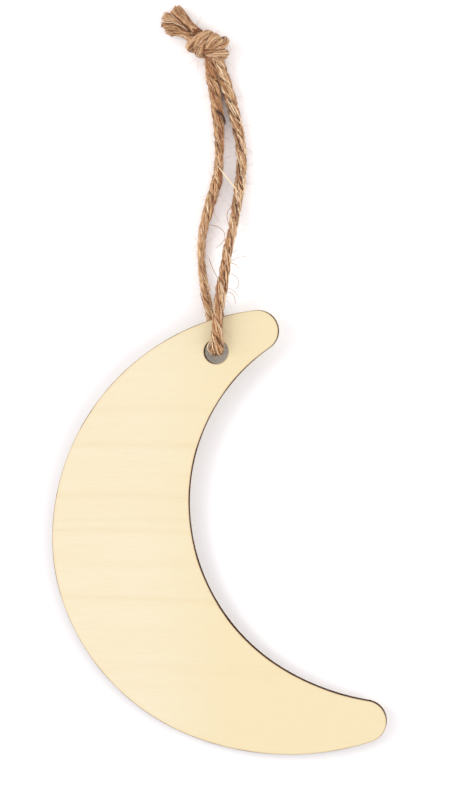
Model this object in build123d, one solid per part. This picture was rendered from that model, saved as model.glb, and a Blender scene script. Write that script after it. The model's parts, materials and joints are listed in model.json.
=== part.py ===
from build123d import *
import math
import os

# A plywood crescent ornament lying face up on a table, with its twine hanger laid out above it.
# Lengths are in millimetres and angles in degrees: x to the right of the face, y up the ornament, z up.

# Plywood blank: a thick core between two thin veneers
blank_thickness = 3.0
veneer_thickness = 0.6

# Outer edge: tangent arcs up and down from its leftmost point
outer_left = (-37.75, -1.6)
outer_upper_radius = 52.0
outer_belly_radius = 43.65
outer_belly_sweep = 19.0
outer_base_radius = 49.35
outer_base_sweep = 49.25
outer_horn_radius = 60.35

# Inner edge: tangent arcs up and down from its leftmost point
inner_left = (-6.75, 6.8)
inner_upper_radius = 42.35
inner_belly_radius = 43.75
inner_belly_sweep = 59.85
inner_horn_radius = 54.0

# The end arcs run on past the sharp points where the two edges would meet, and the points are rounded
outer_upper_sweep = 115.0
outer_horn_sweep = 65.0
inner_upper_sweep = 90.0
inner_horn_sweep = 65.0
upper_tip_radius = 4.65
lower_tip_radius = 4.7

# Hanging hole near the upper tip
hole_centre = (-0.5, 40.75)
hole_diameter = 5.5

# The back strand of the twine lies under the upper end, so the blank leans down to the lower left
lean_angle = 1.75
lean_heading = 237.0

# Twine
twine_diameter = 2.1
twine_gap = 0.2
fold_gap = 0.3
arc_share = 0.45

# Twine through the hole, in the blank's own plane and measured from the middle of the hole
front_turn = (0.15, 0.07)
front_mid = (0.1, 6.55)
front_end = (0.8, 12.95)
back_turn = (-0.05, 0.07)
back_mid = (-1.45, 6.55)
back_end = (-2.65, 12.95)

# Fold line of the loop, above the front strand's end
fold_rise = 0.3

# The two strands of the loop, from the fold to the knot, with their axes just above the table
floor_axis = 1.1
front_leg_route = [
    (1.2, 58.0, 6.7),
    (1.8, 63.0, 5.0),
    (2.8, 67.6, 2.9),
    (3.7, 72.6, 1.5),
    (4.6, 78.2, floor_axis),
    (5.1, 84.2, floor_axis),
    (4.5, 90.0, floor_axis),
    (3.3, 95.6, floor_axis),
    (2.0, 100.6, floor_axis),
]
back_leg_route = [
    (-3.8, 58.2, 1.25),
    (-4.0, 63.4, floor_axis),
    (-3.3, 68.6, floor_axis),
    (-1.9, 74.0, floor_axis),
    (-0.4, 79.6, floor_axis),
    (0.0, 85.4, floor_axis),
    (-0.25, 91.4, floor_axis),
    (-0.9, 97.0, floor_axis),
    (-1.5, 101.4, floor_axis),
]

# Overhand knot tied in both strands at once, measured from its middle on the table
knot_middle = (-2.45, 109.6)
front_knot_route = [
    (2.85, -4.7, 1.25),
    (1.9, -1.6, 2.75),
    (1.6, 1.6, 2.4),
    (-1.2, 3.0, 3.7),
    (-3.9, 1.0, 4.2),
    (-4.5, -2.2, 1.15),
    (-0.3, -2.5, 1.1),
    (3.85, -2.4, 1.15),
    (3.8, -1.9, 4.7),
    (0.4, -1.2, 4.6),
    (-2.1, 0.3, 1.9),
    (-4.5, 1.5, 1.45),
]
back_knot_route = [
    (0.5, -4.7, 1.25),
    (-0.2, -1.8, 2.75),
    (-0.5, 2.4, 2.1),
    (-1.4, 2.5, 5.0),
    (-2.2, -0.8, 4.9),
    (-2.35, -0.7, 1.2),
    (0.7, -0.3, 1.1),
    (3.9, 0.35, 1.15),
    (3.8, 0.8, 4.7),
    (0.7, 1.0, 4.6),
    (-1.5, 1.8, 2.1),
    (-3.4, 4.0, 1.45),
]
# Each strand of the knot is built in stretches that don't meet themselves, with flat facets
knot_cuts = (3, 7)
facet_sides = 12
facet_step = 0.9

# Frayed tails: ends measured from the knot's middle, and the size of each brush there
front_tail_end = (-9.9, 4.5, 1.35)
front_tail_width = 5.0
back_tail_end = (-6.8, 8.2, 1.35)
back_tail_width = 2.9
tail_height = 2.5

# Worked-out sizes
core_thickness = blank_thickness - 2 * veneer_thickness
twine_radius = twine_diameter / 2
twine_offset = twine_radius + twine_gap
front_height = blank_thickness + twine_offset
back_height = -twine_offset
lean_axis = Axis(
    (0, 0, 0),
    (-math.sin(math.radians(lean_heading)), math.cos(math.radians(lean_heading)), 0),
)


def arc_chain(start, heading, turns):
    """Tangent arcs from a start point and heading; each turn is a radius and a sweep, left positive."""
    arcs = []
    for radius, sweep in turns:
        arc = JernArc(start, heading, radius, sweep)
        arcs.append(arc)
        start = arc @ 1
        heading = arc % 1
    return arcs


def region_right_of(left_point, upward_turns, downward_turns):
    """The region to the right of an edge that runs up and down from its leftmost point."""
    upper = arc_chain(left_point, (0, 1), upward_turns)
    lower = arc_chain(left_point, (0, -1), downward_turns)
    closing = Line(upper[-1] @ 1, lower[-1] @ 1)
    return make_face(upper + lower + [closing])


def crescent_face():
    """Front view of the crescent: two rounded horns and the hanging hole."""
    disc = region_right_of(
        outer_left,
        [(outer_upper_radius, -outer_upper_sweep)],
        [
            (outer_belly_radius, outer_belly_sweep),
            (outer_base_radius, outer_base_sweep),
            (outer_horn_radius, outer_horn_sweep),
        ],
    )
    bay = region_right_of(
        inner_left,
        [(inner_upper_radius, -inner_upper_sweep)],
        [(inner_belly_radius, inner_belly_sweep), (inner_horn_radius, inner_horn_sweep)],
    )
    crescent = disc - bay
    upper_tip = crescent.vertices().sort_by(Axis.Y)[-1]
    crescent = fillet(upper_tip, upper_tip_radius)
    lower_tip = crescent.vertices().sort_by(Axis.X)[-1]
    crescent = fillet(lower_tip, lower_tip_radius)
    return crescent - Pos(*hole_centre) * Circle(hole_diameter / 2)


def ply(face, bottom, thickness):
    """One layer of the plywood, from its lower face up."""
    return extrude(Pos(0, 0, bottom) * face, thickness)


def corner_radii(points):
    """The largest arcs that the runs on both sides of each corner leave room for."""
    corners = [Vector(point) for point in points]
    radii = []
    for before, corner, after in zip(corners, corners[1:], corners[2:]):
        arriving = corner - before
        leaving = after - corner
        half_turn = math.radians(arriving.get_angle(leaving)) / 2
        shorter_run = min(arriving.length, leaving.length)
        radii.append(arc_share * shorter_run / math.tan(half_turn))
    return radii


def twine_tube(name, points, radii):
    """A length of twine along straight runs joined by tangent arcs."""
    path = FilletPolyline(*points, radius=radii)
    section = Plane(origin=path @ 0, z_dir=path % 0) * Circle(twine_radius)
    tube = sweep(section, path=path)
    expected = math.pi * twine_radius**2 * path.length
    print(
        f"{name}: length {path.length:.1f}, smallest arc {min(radii):.1f},"
        f" volume {tube.volume:.2f} of {expected:.2f}"
    )
    return tube


def faceted_twine(points, radii):
    """A length of twine inside the knot, with flat facets so that crossing strands fuse cleanly."""
    path = FilletPolyline(*points, radius=radii)
    steps = round(path.length / facet_step)
    line = Polyline(*[path @ (step / steps) for step in range(steps + 1)])
    section = Plane(origin=line @ 0, z_dir=line % 0) * RegularPolygon(twine_radius, facet_sides)
    tube = sweep(section, path=line, transition=Transition.RIGHT)
    print(f"knot stretch: length {path.length:.1f}, smallest arc {min(radii):.1f}, volume {tube.volume:.2f}")
    return tube.solid()


def at_hole(offset, height):
    """A point of the flat blank's space, from an offset in its plane and a height above its back."""
    return Vector(hole_centre[0] + offset[0], hole_centre[1] + offset[1], height)


def at_knot(route):
    """Points measured from the knot's middle, in the object's space."""
    middle = Vector(knot_middle[0], knot_middle[1], 0)
    return [middle + Vector(*point) for point in route]


def split_route(points, cuts):
    """Cuts a route half-way along the runs that follow the given points; gives points and radii."""
    radii = corner_radii(points)
    stretches = []
    first = 1
    opening = points[0]
    for cut in cuts:
        halfway = (points[cut] + points[cut + 1]) / 2
        stretches.append(([opening, *points[first : cut + 1], halfway], radii[first - 1 : cut]))
        first = cut + 1
        opening = halfway
    stretches.append(([opening, *points[first:]], radii[first - 1 :]))
    return stretches


def frayed_tail(start, start_heading, end, width):
    """A cut end of the twine that opens from a round section to a flat brush."""
    heading = end - start
    root = Plane(origin=start, z_dir=start_heading) * Circle(twine_radius)
    flat = heading.cross(Vector(0, 0, 1))
    brush = Plane(origin=end, x_dir=flat, z_dir=heading) * Ellipse(width / 2, tail_height / 2)
    return loft([root, brush])


# Blank, built flat with its back on the table
face = crescent_face()
layers = {
    "back_ply": ply(face, 0, veneer_thickness),
    "core_ply": ply(face, veneer_thickness, core_thickness),
    "face_ply": ply(face, veneer_thickness + core_thickness, veneer_thickness),
}

# The twine through the hole, built with the flat blank
bight_route = [
    at_hole(front_end, front_height),
    at_hole(front_mid, front_height),
    at_hole(front_turn, front_height),
    at_hole(back_turn, back_height),
    at_hole(back_mid, back_height),
    at_hole(back_end, back_height),
]
bight = twine_tube("twine_bight", bight_route, corner_radii(bight_route))

# The lean, and the shift that stands the blank on the table with its middle at the origin
leaning = [layer.rotate(lean_axis, lean_angle) for layer in layers.values()]
blank_box = Compound(children=leaning).bounding_box()
seat_shift = Vector(-blank_box.center().X, -blank_box.center().Y, -blank_box.min.Z)


def seated(shape):
    """A shape of the flat blank's space, leaned and stood on the table."""
    return Pos(*seat_shift) * shape.rotate(lean_axis, lean_angle)


def seated_point(point):
    """A point of the flat blank's space, leaned and stood on the table."""
    return point.rotate(lean_axis, lean_angle) + seat_shift


def leg_start(mid, end):
    """Where a strand goes on after the gap of the fold, in the object's space."""
    heading = (end - mid).normalized()
    return seated_point(end + heading * fold_gap)


parts = {name: seated(layer) for name, layer in layers.items()}
parts["twine_bight"] = seated(bight)

# The loop's two strands, which end where the knot begins
front_knot = at_knot(front_knot_route)
back_knot = at_knot(back_knot_route)
front_leg = [leg_start(bight_route[1], bight_route[0]), *front_leg_route, front_knot[0]]
back_leg = [leg_start(bight_route[4], bight_route[5]), *back_leg_route, back_knot[0]]
parts["twine_front_leg"] = twine_tube("twine_front_leg", front_leg, corner_radii(front_leg))
parts["twine_back_leg"] = twine_tube("twine_back_leg", back_leg, corner_radii(back_leg))

# The knot, fused from the stretches of both strands
stretches = split_route(front_knot, knot_cuts) + split_route(back_knot, knot_cuts)
tubes = [faceted_twine(points, radii) for points, radii in stretches]
parts["overhand_knot"] = tubes[0].fuse(*tubes[1:])

# The two cut ends
for name, route, end, width in [
    ("front_tail", front_knot, front_tail_end, front_tail_width),
    ("back_tail", back_knot, back_tail_end, back_tail_width),
]:
    tip = at_knot([end])[0]
    parts[name] = frayed_tail(route[-1], route[-1] - route[-2], tip, width)

os.makedirs("parts", exist_ok=True)
for name, shape in parts.items():
    box = shape.bounding_box()
    print(f"{name}: {len(shape.solids())} solid, valid {shape.is_valid}, lowest {box.min.Z:.2f}")
    export_step(shape, f"parts/{name}.step")

# Places of the two axes that the hanger turns about
swing_point = seated_point(at_hole((0, 0), blank_thickness / 2))
swing_axis = seated_point(at_hole((0, 0), blank_thickness)) - seated_point(at_hole((0, 0), 0))
fold_offset = (0, front_end[1] + fold_gap / 2)
fold_point = seated_point(at_hole(fold_offset, front_height + twine_radius + fold_rise))
fold_axis = Vector(1, 0, 0).rotate(lean_axis, lean_angle)
print("swing axis at", swing_point, "along", swing_axis.normalized())
print("fold axis at", fold_point, "along", fold_axis)
print("middle of the hole's back edge", seated_point(at_hole((0, 0), 0)))
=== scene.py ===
"""Looks of a plywood crescent ornament that hangs from a knotted loop of jute twine.

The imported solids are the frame. The plies and the twine are built over them in the same space, and dressed
with procedural finishes. Sizes are millimetres, and MM turns them into metres as each mesh is made.
"""

from __future__ import annotations

import json
import logging
import math
from dataclasses import dataclass, field, replace
from enum import Enum

import bpy
import numpy as np
from mathutils import Matrix, Quaternion, Vector
from mathutils.geometry import delaunay_2d_cdt


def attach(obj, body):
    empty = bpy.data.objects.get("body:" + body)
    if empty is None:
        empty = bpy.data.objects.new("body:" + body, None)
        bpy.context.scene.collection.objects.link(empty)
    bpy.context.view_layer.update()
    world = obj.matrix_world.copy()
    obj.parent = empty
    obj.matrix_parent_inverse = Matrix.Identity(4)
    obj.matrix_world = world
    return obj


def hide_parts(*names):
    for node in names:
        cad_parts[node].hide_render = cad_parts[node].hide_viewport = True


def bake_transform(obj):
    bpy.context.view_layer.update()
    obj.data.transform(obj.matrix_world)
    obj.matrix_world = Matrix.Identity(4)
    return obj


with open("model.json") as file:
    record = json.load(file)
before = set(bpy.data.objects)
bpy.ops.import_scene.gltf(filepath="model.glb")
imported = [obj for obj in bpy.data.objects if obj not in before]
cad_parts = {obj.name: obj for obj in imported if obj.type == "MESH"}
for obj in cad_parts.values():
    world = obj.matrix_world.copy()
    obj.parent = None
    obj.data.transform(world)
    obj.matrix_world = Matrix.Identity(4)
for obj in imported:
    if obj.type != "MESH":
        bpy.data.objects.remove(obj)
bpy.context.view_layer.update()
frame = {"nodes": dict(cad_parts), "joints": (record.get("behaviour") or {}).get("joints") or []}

MM = 0.001
FULL_TURN = 2 * math.pi
# Name of the map that finishes are baked onto
BAKE_MAP = "OFBake"
# Steps of a spline from one of its control points to the next
SPLINE_STEPS = 24
BLANK_THICKNESS = 3.0
# Height of the twine's middle where it lies on the floor
FLOOR_LEVEL = 1.1
# Length of each wave of a drift against the longest, and its share of the drift's reach
DRIFT_WAVES = ((1.0, 0.55), (0.47, 0.3), (0.21, 0.15))
# Least and most that a wave is stretched by
DRIFT_STRETCH = (0.8, 1.25)

Colour = tuple[float, float, float, float]
Place = tuple[float, float, float]
Spot = tuple[float, float]
Range = tuple[float, float]
# A range of numbers, and the range that they are moved to
Span = tuple[float, float, float, float]
Socket = bpy.types.NodeSocket

log = logging.getLogger("crescent")


class Body(Enum):
    """The bodies of the frame that pieces ride on."""

    BLANK = "crescent"
    BIGHT = "hanger_bight"
    LOOP = "hanger_loop"


class Slot(Enum):
    """The record's material slots."""

    VENEER = "veneer"
    CORE = "core"
    TWINE = "twine"


class Grain(Enum):
    """Which way a ply's fibres run in the blank's plane."""

    ACROSS = (1.0, 0.0)
    UP = (0.0, 1.0)


def tint(red: float, green: float, blue: float) -> Colour:
    """A colour of the screen as the light that it stands for, by the screen's standard curve.

    Args:
        red: Red from 0 to 255.
        green: Green from 0 to 255.
        blue: Blue from 0 to 255.

    Returns:
        The channels from 0 to 1, with full cover.
    """
    shares = (red / 255, green / 255, blue / 255)
    light = [share / 12.92 if share < 0.04 else ((share + 0.055) / 1.055) ** 2.4 for share in shares]
    return (light[0], light[1], light[2], 1.0)


def unit(vectors: np.ndarray) -> np.ndarray:
    """The same directions, one long."""
    return vectors / np.linalg.norm(vectors, axis=-1, keepdims=True)


def eased(values: np.ndarray, low: float, high: float) -> np.ndarray:
    """A smooth step from 0 at low to 1 at high."""
    share = np.clip((values - low) / (high - low), 0.0, 1.0)
    return share * share * (3 - 2 * share)


@dataclass(frozen=True)
class Drift:
    """Smooth random drift along a line: how far it goes each way, and the length of its longest waves."""

    reach: float
    wavelength: float

    def draw(self, rng: np.random.Generator, marks: np.ndarray, lines: int = 1) -> np.ndarray:
        """Draws drifts that differ from each other.

        Args:
            rng: Source of the phases.
            marks: Distances along the line.
            lines: How many separate drifts to make.

        Returns:
            One row of values for each drift.
        """
        total = np.zeros((lines, len(marks)))
        for shorter, share in DRIFT_WAVES:
            phase = rng.uniform(0.0, FULL_TURN, (lines, 1))
            stretch = rng.uniform(*DRIFT_STRETCH, (lines, 1))
            total += share * np.sin(FULL_TURN * marks / (self.wavelength * shorter * stretch) + phase)
        return self.reach * total


def run_lengths(line: np.ndarray) -> np.ndarray:
    """Distance along a line at each of its points."""
    steps = np.linalg.norm(np.diff(line, axis=0), axis=1)
    return np.concatenate([[0.0], np.cumsum(steps)])


def evenly_spaced(line: np.ndarray, step: float) -> np.ndarray:
    """The points of a line again, about one step apart.

    Args:
        line: Points of the line.
        step: Distance from one new point to the next.

    Returns:
        The new points.
    """
    run = run_lengths(line)
    marks = np.linspace(0.0, run[-1], max(2, round(run[-1] / step) + 1))
    return np.stack([np.interp(marks, run, line[:, axis]) for axis in range(3)], axis=1)


def spline_points(name: str, controls: list[Place], step: float) -> np.ndarray:
    """Points read from the smooth spline that a route's points control.

    Args:
        name: Name of the curve.
        controls: The route's points.
        step: Distance from one read point to the next.

    Returns:
        Points along the spline.
    """
    curve = bpy.data.curves.new(name, "CURVE")
    curve.dimensions = "3D"
    curve.resolution_u = SPLINE_STEPS
    spline = curve.splines.new("NURBS")
    spline.points.add(len(controls) - 1)
    for point, place in zip(spline.points, controls):
        point.co = (*place, 1.0)
    spline.order_u = 3
    spline.use_endpoint_u = True
    holder = bpy.data.objects.new(name, curve)
    mesh = bpy.data.meshes.new_from_object(holder)
    line = np.array([vertex.co for vertex in mesh.vertices])
    bpy.data.objects.remove(holder)
    bpy.data.meshes.remove(mesh)
    bpy.data.curves.remove(curve)
    return evenly_spaced(line, step)


def carried_axes(line: np.ndarray, start: np.ndarray) -> tuple[np.ndarray, np.ndarray, np.ndarray]:
    """Directions carried along a line without twisting.

    Args:
        line: Points of the line.
        start: Direction that the first sideways axis points in, roughly.

    Returns:
        The line's heading and two sideways axes at each point.
    """
    heading = unit(np.gradient(line, axis=0))
    side = np.zeros_like(line)
    current = start
    for index, ahead in enumerate(heading):
        current = current - ahead * (current @ ahead)
        current = current / np.linalg.norm(current)
        side[index] = current
    return heading, side, np.cross(heading, side)


def flat_tubes(
    lines: np.ndarray, outward: np.ndarray, half_width: np.ndarray, half_thick: np.ndarray, sides: int
) -> np.ndarray:
    """Rings of flattened tubes along lines.

    Args:
        lines: Points of each tube's line, as tubes by points by 3.
        outward: Direction across the tube's thickness at each point.
        half_width: Half widths, as tubes by points.
        half_thick: Half thicknesses, as tubes by points.
        sides: How many sides a tube has.

    Returns:
        Ring points as tubes by rings by sides by 3.
    """
    ahead = unit(np.gradient(lines, axis=1))
    outward = unit(outward - ahead * np.sum(outward * ahead, axis=-1, keepdims=True))
    across = np.cross(outward, ahead)
    turn = FULL_TURN * (np.arange(sides) + 0.5) / sides
    wide = half_width[..., None, None] * np.cos(turn)[:, None] * across[..., None, :]
    thick = half_thick[..., None, None] * np.sin(turn)[:, None] * outward[..., None, :]
    return lines[..., None, :] + wide + thick


def scene_object(name: str, data: bpy.types.ID) -> bpy.types.Object:
    """A new object of the scene.

    Args:
        name: Name of the object.
        data: Its mesh, light or camera.

    Returns:
        The new object.
    """
    made = bpy.data.objects.new(name, data)
    bpy.context.scene.collection.objects.link(made)
    return made


def smooth_piece(
    name: str,
    points: np.ndarray,
    faces: list[list[int]],
    finishes: list[bpy.types.Material],
    values: dict[str, np.ndarray],
) -> bpy.types.Object:
    """A smooth mesh as an object of the scene.

    Args:
        name: Name of the piece.
        points: Its points.
        faces: Numbers of each face's points.
        finishes: Its materials.
        values: Named numbers to store on its points.

    Returns:
        The new object.
    """
    mesh = bpy.data.meshes.new(name)
    mesh.from_pydata((points * MM).tolist(), [], faces)
    mesh.shade_smooth()
    for finish in finishes:
        mesh.materials.append(finish)
    for key, numbers in values.items():
        layer = mesh.attributes.new(key, "FLOAT", "POINT")
        layer.data.foreach_set("value", numbers.astype(np.float32))
    return scene_object(name, mesh)


@dataclass
class TubeBatch:
    """Closed tubes gathered into one mesh, each with its own strip of the bake map."""

    points: list[np.ndarray] = field(default_factory=list)
    faces: list[list[int]] = field(default_factory=list)
    corners: list[np.ndarray] = field(default_factory=list)
    values: dict[str, list[np.ndarray]] = field(default_factory=dict)
    strips: int = 0
    filled: int = 0
    # Most strips in a column of the bake map, and shares of a strip left free at its ends and its sides
    column_strips: int = 256
    end_margin: float = 0.02
    side_margin: float = 0.1

    def add(self, rings: np.ndarray, **values: np.ndarray) -> None:
        """Adds tubes.

        Args:
            rings: Ring points as tubes by rings by sides by 3, counter-clockwise about the heading.
            values: Named numbers for each ring, as tubes by rings.
        """
        tubes, length, sides, _ = rings.shape
        index = np.arange(tubes * length * sides).reshape(tubes, length, sides) + self.filled
        ahead = np.roll(index, -1, axis=2)
        quads = np.stack([index[:, :-1], ahead[:, :-1], ahead[:, 1:], index[:, 1:]], axis=-1)
        self.faces += quads.reshape(-1, 4).tolist()
        self.faces += index[:, 0, ::-1].tolist() + index[:, -1].tolist()
        self.points.append(rings.reshape(-1, 3))
        self.corners.append(self._strip_corners(tubes, length, sides))
        for name, rows in values.items():
            wide = np.repeat(rows.reshape(tubes, length, 1), sides, axis=2)
            self.values.setdefault(name, []).append(wide.reshape(-1))
        self.strips += tubes
        self.filled += tubes * length * sides

    def _strip_corners(self, tubes: int, length: int, sides: int) -> np.ndarray:
        """Where the face corners of new tubes lie on their strips.

        Args:
            tubes: How many tubes there are.
            length: How many rings each has.
            sides: How many sides each has.

        Returns:
            Share of the way along the strip, strip number, and share of the way round, for each corner.
        """
        counts = (np.arange(tubes), np.arange(length), np.arange(sides + 1))
        tube, ring, side = np.meshgrid(*counts, indexing="ij")
        spot = np.stack([ring / (length - 1), tube + self.strips, side / sides], axis=-1).astype(float)
        quads = np.stack([spot[:, :-1, :-1], spot[:, :-1, 1:], spot[:, 1:, 1:], spot[:, 1:, :-1]], axis=3)
        caps = [spot[:, 0, sides:0:-1], spot[:, -1, :sides]]
        return np.concatenate([quads.reshape(-1, 3)] + [cap.reshape(-1, 3) for cap in caps])

    def _map_spots(self) -> np.ndarray:
        """Places of all face corners on the bake map, whose strips stand in columns."""
        along, strip, around = np.concatenate(self.corners).T
        columns = max(1, math.ceil(self.strips / self.column_strips))
        rows = math.ceil(self.strips / columns)
        inside = self.end_margin + (1 - 2 * self.end_margin) * along
        between = self.side_margin + (1 - 2 * self.side_margin) * around
        return np.stack([(strip // rows + inside) / columns, (strip % rows + between) / rows], axis=1)

    def to_object(self, name: str, finish: bpy.types.Material) -> bpy.types.Object:
        """The gathered tubes as an object of the scene.

        Args:
            name: Name of the piece.
            finish: Its material.

        Returns:
            The new object.
        """
        values = {key: np.concatenate(rows) for key, rows in self.values.items()}
        made = smooth_piece(name, np.concatenate(self.points), self.faces, [finish], values)
        mapped = made.data.uv_layers.new(name=BAKE_MAP)
        mapped.data.foreach_set("uv", self._map_spots().astype(np.float32).ravel())
        return made


class NodePen:
    """Draws the node tree of one material."""

    def __init__(self, name: str) -> None:
        """Starts a material with an empty finish.

        Args:
            name: Name of the material.
        """
        self.material = bpy.data.materials.new(name)
        self.material.use_nodes = True
        self.tree = self.material.node_tree
        self.shader = self.tree.nodes["Principled BSDF"]

    def node(self, kind: str, inputs: dict[str | int, object], **settings: object) -> bpy.types.Node:
        """Adds a node.

        Args:
            kind: Blender's name for the kind of node.
            inputs: Values or sockets for its inputs.
            settings: Its own options.

        Returns:
            The new node.
        """
        made = self.tree.nodes.new(kind)
        for option, value in settings.items():
            setattr(made, option, value)
        for key, value in inputs.items():
            self.feed(made.inputs[key], value)
        return made

    def feed(self, socket: Socket, value: object) -> None:
        """Links a socket, or sets a plain value on it.

        Args:
            socket: An input of a node.
            value: Another node's output, or the plain value.
        """
        if isinstance(value, bpy.types.NodeSocket):
            self.tree.links.new(value, socket)
        else:
            socket.default_value = value

    def finish(self, **inputs: object) -> bpy.types.Material:
        """Feeds the shader.

        Args:
            inputs: Values or outputs for its sockets, whose names have underscores for spaces.

        Returns:
            The material.
        """
        for key, value in inputs.items():
            self.feed(self.shader.inputs[key.replace("_", " ")], value)
        return self.material

    def place(self, across: float, up: float, through: float) -> Socket:
        """The object's own coordinates, in cells.

        Args:
            across: Cells a millimetre in X.
            up: Cells a millimetre in Y.
            through: Cells a millimetre in Z.

        Returns:
            The scaled coordinates.
        """
        spot = self.node("ShaderNodeTexCoord", {}).outputs["Object"]
        scale = (across / MM, up / MM, through / MM)
        return self.node("ShaderNodeVectorMath", {0: spot, 1: scale}, operation="MULTIPLY").outputs[0]

    def noise(self, vector: Socket, detail: float, roughness: float) -> Socket:
        """Soft noise from 0 to 1, one cell to a unit of the vector."""
        inputs = {"Vector": vector, "Scale": 1.0, "Detail": detail, "Roughness": roughness}
        return self.node("ShaderNodeTexNoise", inputs).outputs["Fac"]

    def value(self, name: str) -> Socket:
        """A number stored on the mesh."""
        return self.node("ShaderNodeAttribute", {}, attribute_name=name).outputs["Fac"]

    def math(self, operation: str, first: Socket, second: Socket | float) -> Socket:
        """A sum, product or other operation of two numbers."""
        return self.node("ShaderNodeMath", {0: first, 1: second}, operation=operation).outputs[0]

    def span(self, number: Socket, low: float, high: float, to_low: float, to_high: float) -> Socket:
        """A number moved from one range to another, and held inside it."""
        inputs = {"Value": number, "From Min": low, "From Max": high, "To Min": to_low, "To Max": to_high}
        return self.node("ShaderNodeMapRange", inputs).outputs[0]

    def ramp(self, number: Socket, stops: list[tuple[float, Colour]]) -> Socket:
        """Colours blended along a number from 0 to 1.

        Args:
            number: The number.
            stops: Places along it, in order, and their colours.

        Returns:
            The blended colour.
        """
        made = self.node("ShaderNodeValToRGB", {"Fac": number})
        elements = made.color_ramp.elements
        for _ in range(len(stops) - 2):
            elements.new(0.5)
        for element, (position, colour) in zip(elements, stops):
            element.position = position
            element.color = colour
        return made.outputs["Color"]

    def mix(self, share: Socket, first: Socket | Colour, second: Socket | Colour) -> Socket:
        """Two colours mixed."""
        # The node has a set of sockets for each kind of data, and these are the ones for colours
        first_in, second_in, result = 6, 7, 2
        inputs = {0: share, first_in: first, second_in: second}
        return self.node("ShaderNodeMix", inputs, data_type="RGBA").outputs[result]

    def bump(self, height: Socket, depth: float, strength: float) -> Socket:
        """A normal that follows a height from 0 to 1, depth millimetres deep."""
        inputs = {"Height": height, "Distance": depth * MM, "Strength": strength}
        return self.node("ShaderNodeBump", inputs).outputs[0]


@dataclass(frozen=True)
class Noise:
    """Soft noise over a finish: its cells a millimetre in X, Y and Z, its detail and its roughness."""

    cells: Place
    detail: float
    roughness: float = 0.5

    def draw(self, pen: NodePen) -> Socket:
        """The noise, from 0 to 1."""
        return pen.noise(pen.place(*self.cells), self.detail, self.roughness)

    def turned(self, grain: Grain) -> Noise:
        """The same noise, with what lies along X laid along a ply's grain."""
        along, over, through = self.cells
        return self if grain is Grain.ACROSS else replace(self, cells=(over, along, through))


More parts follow.
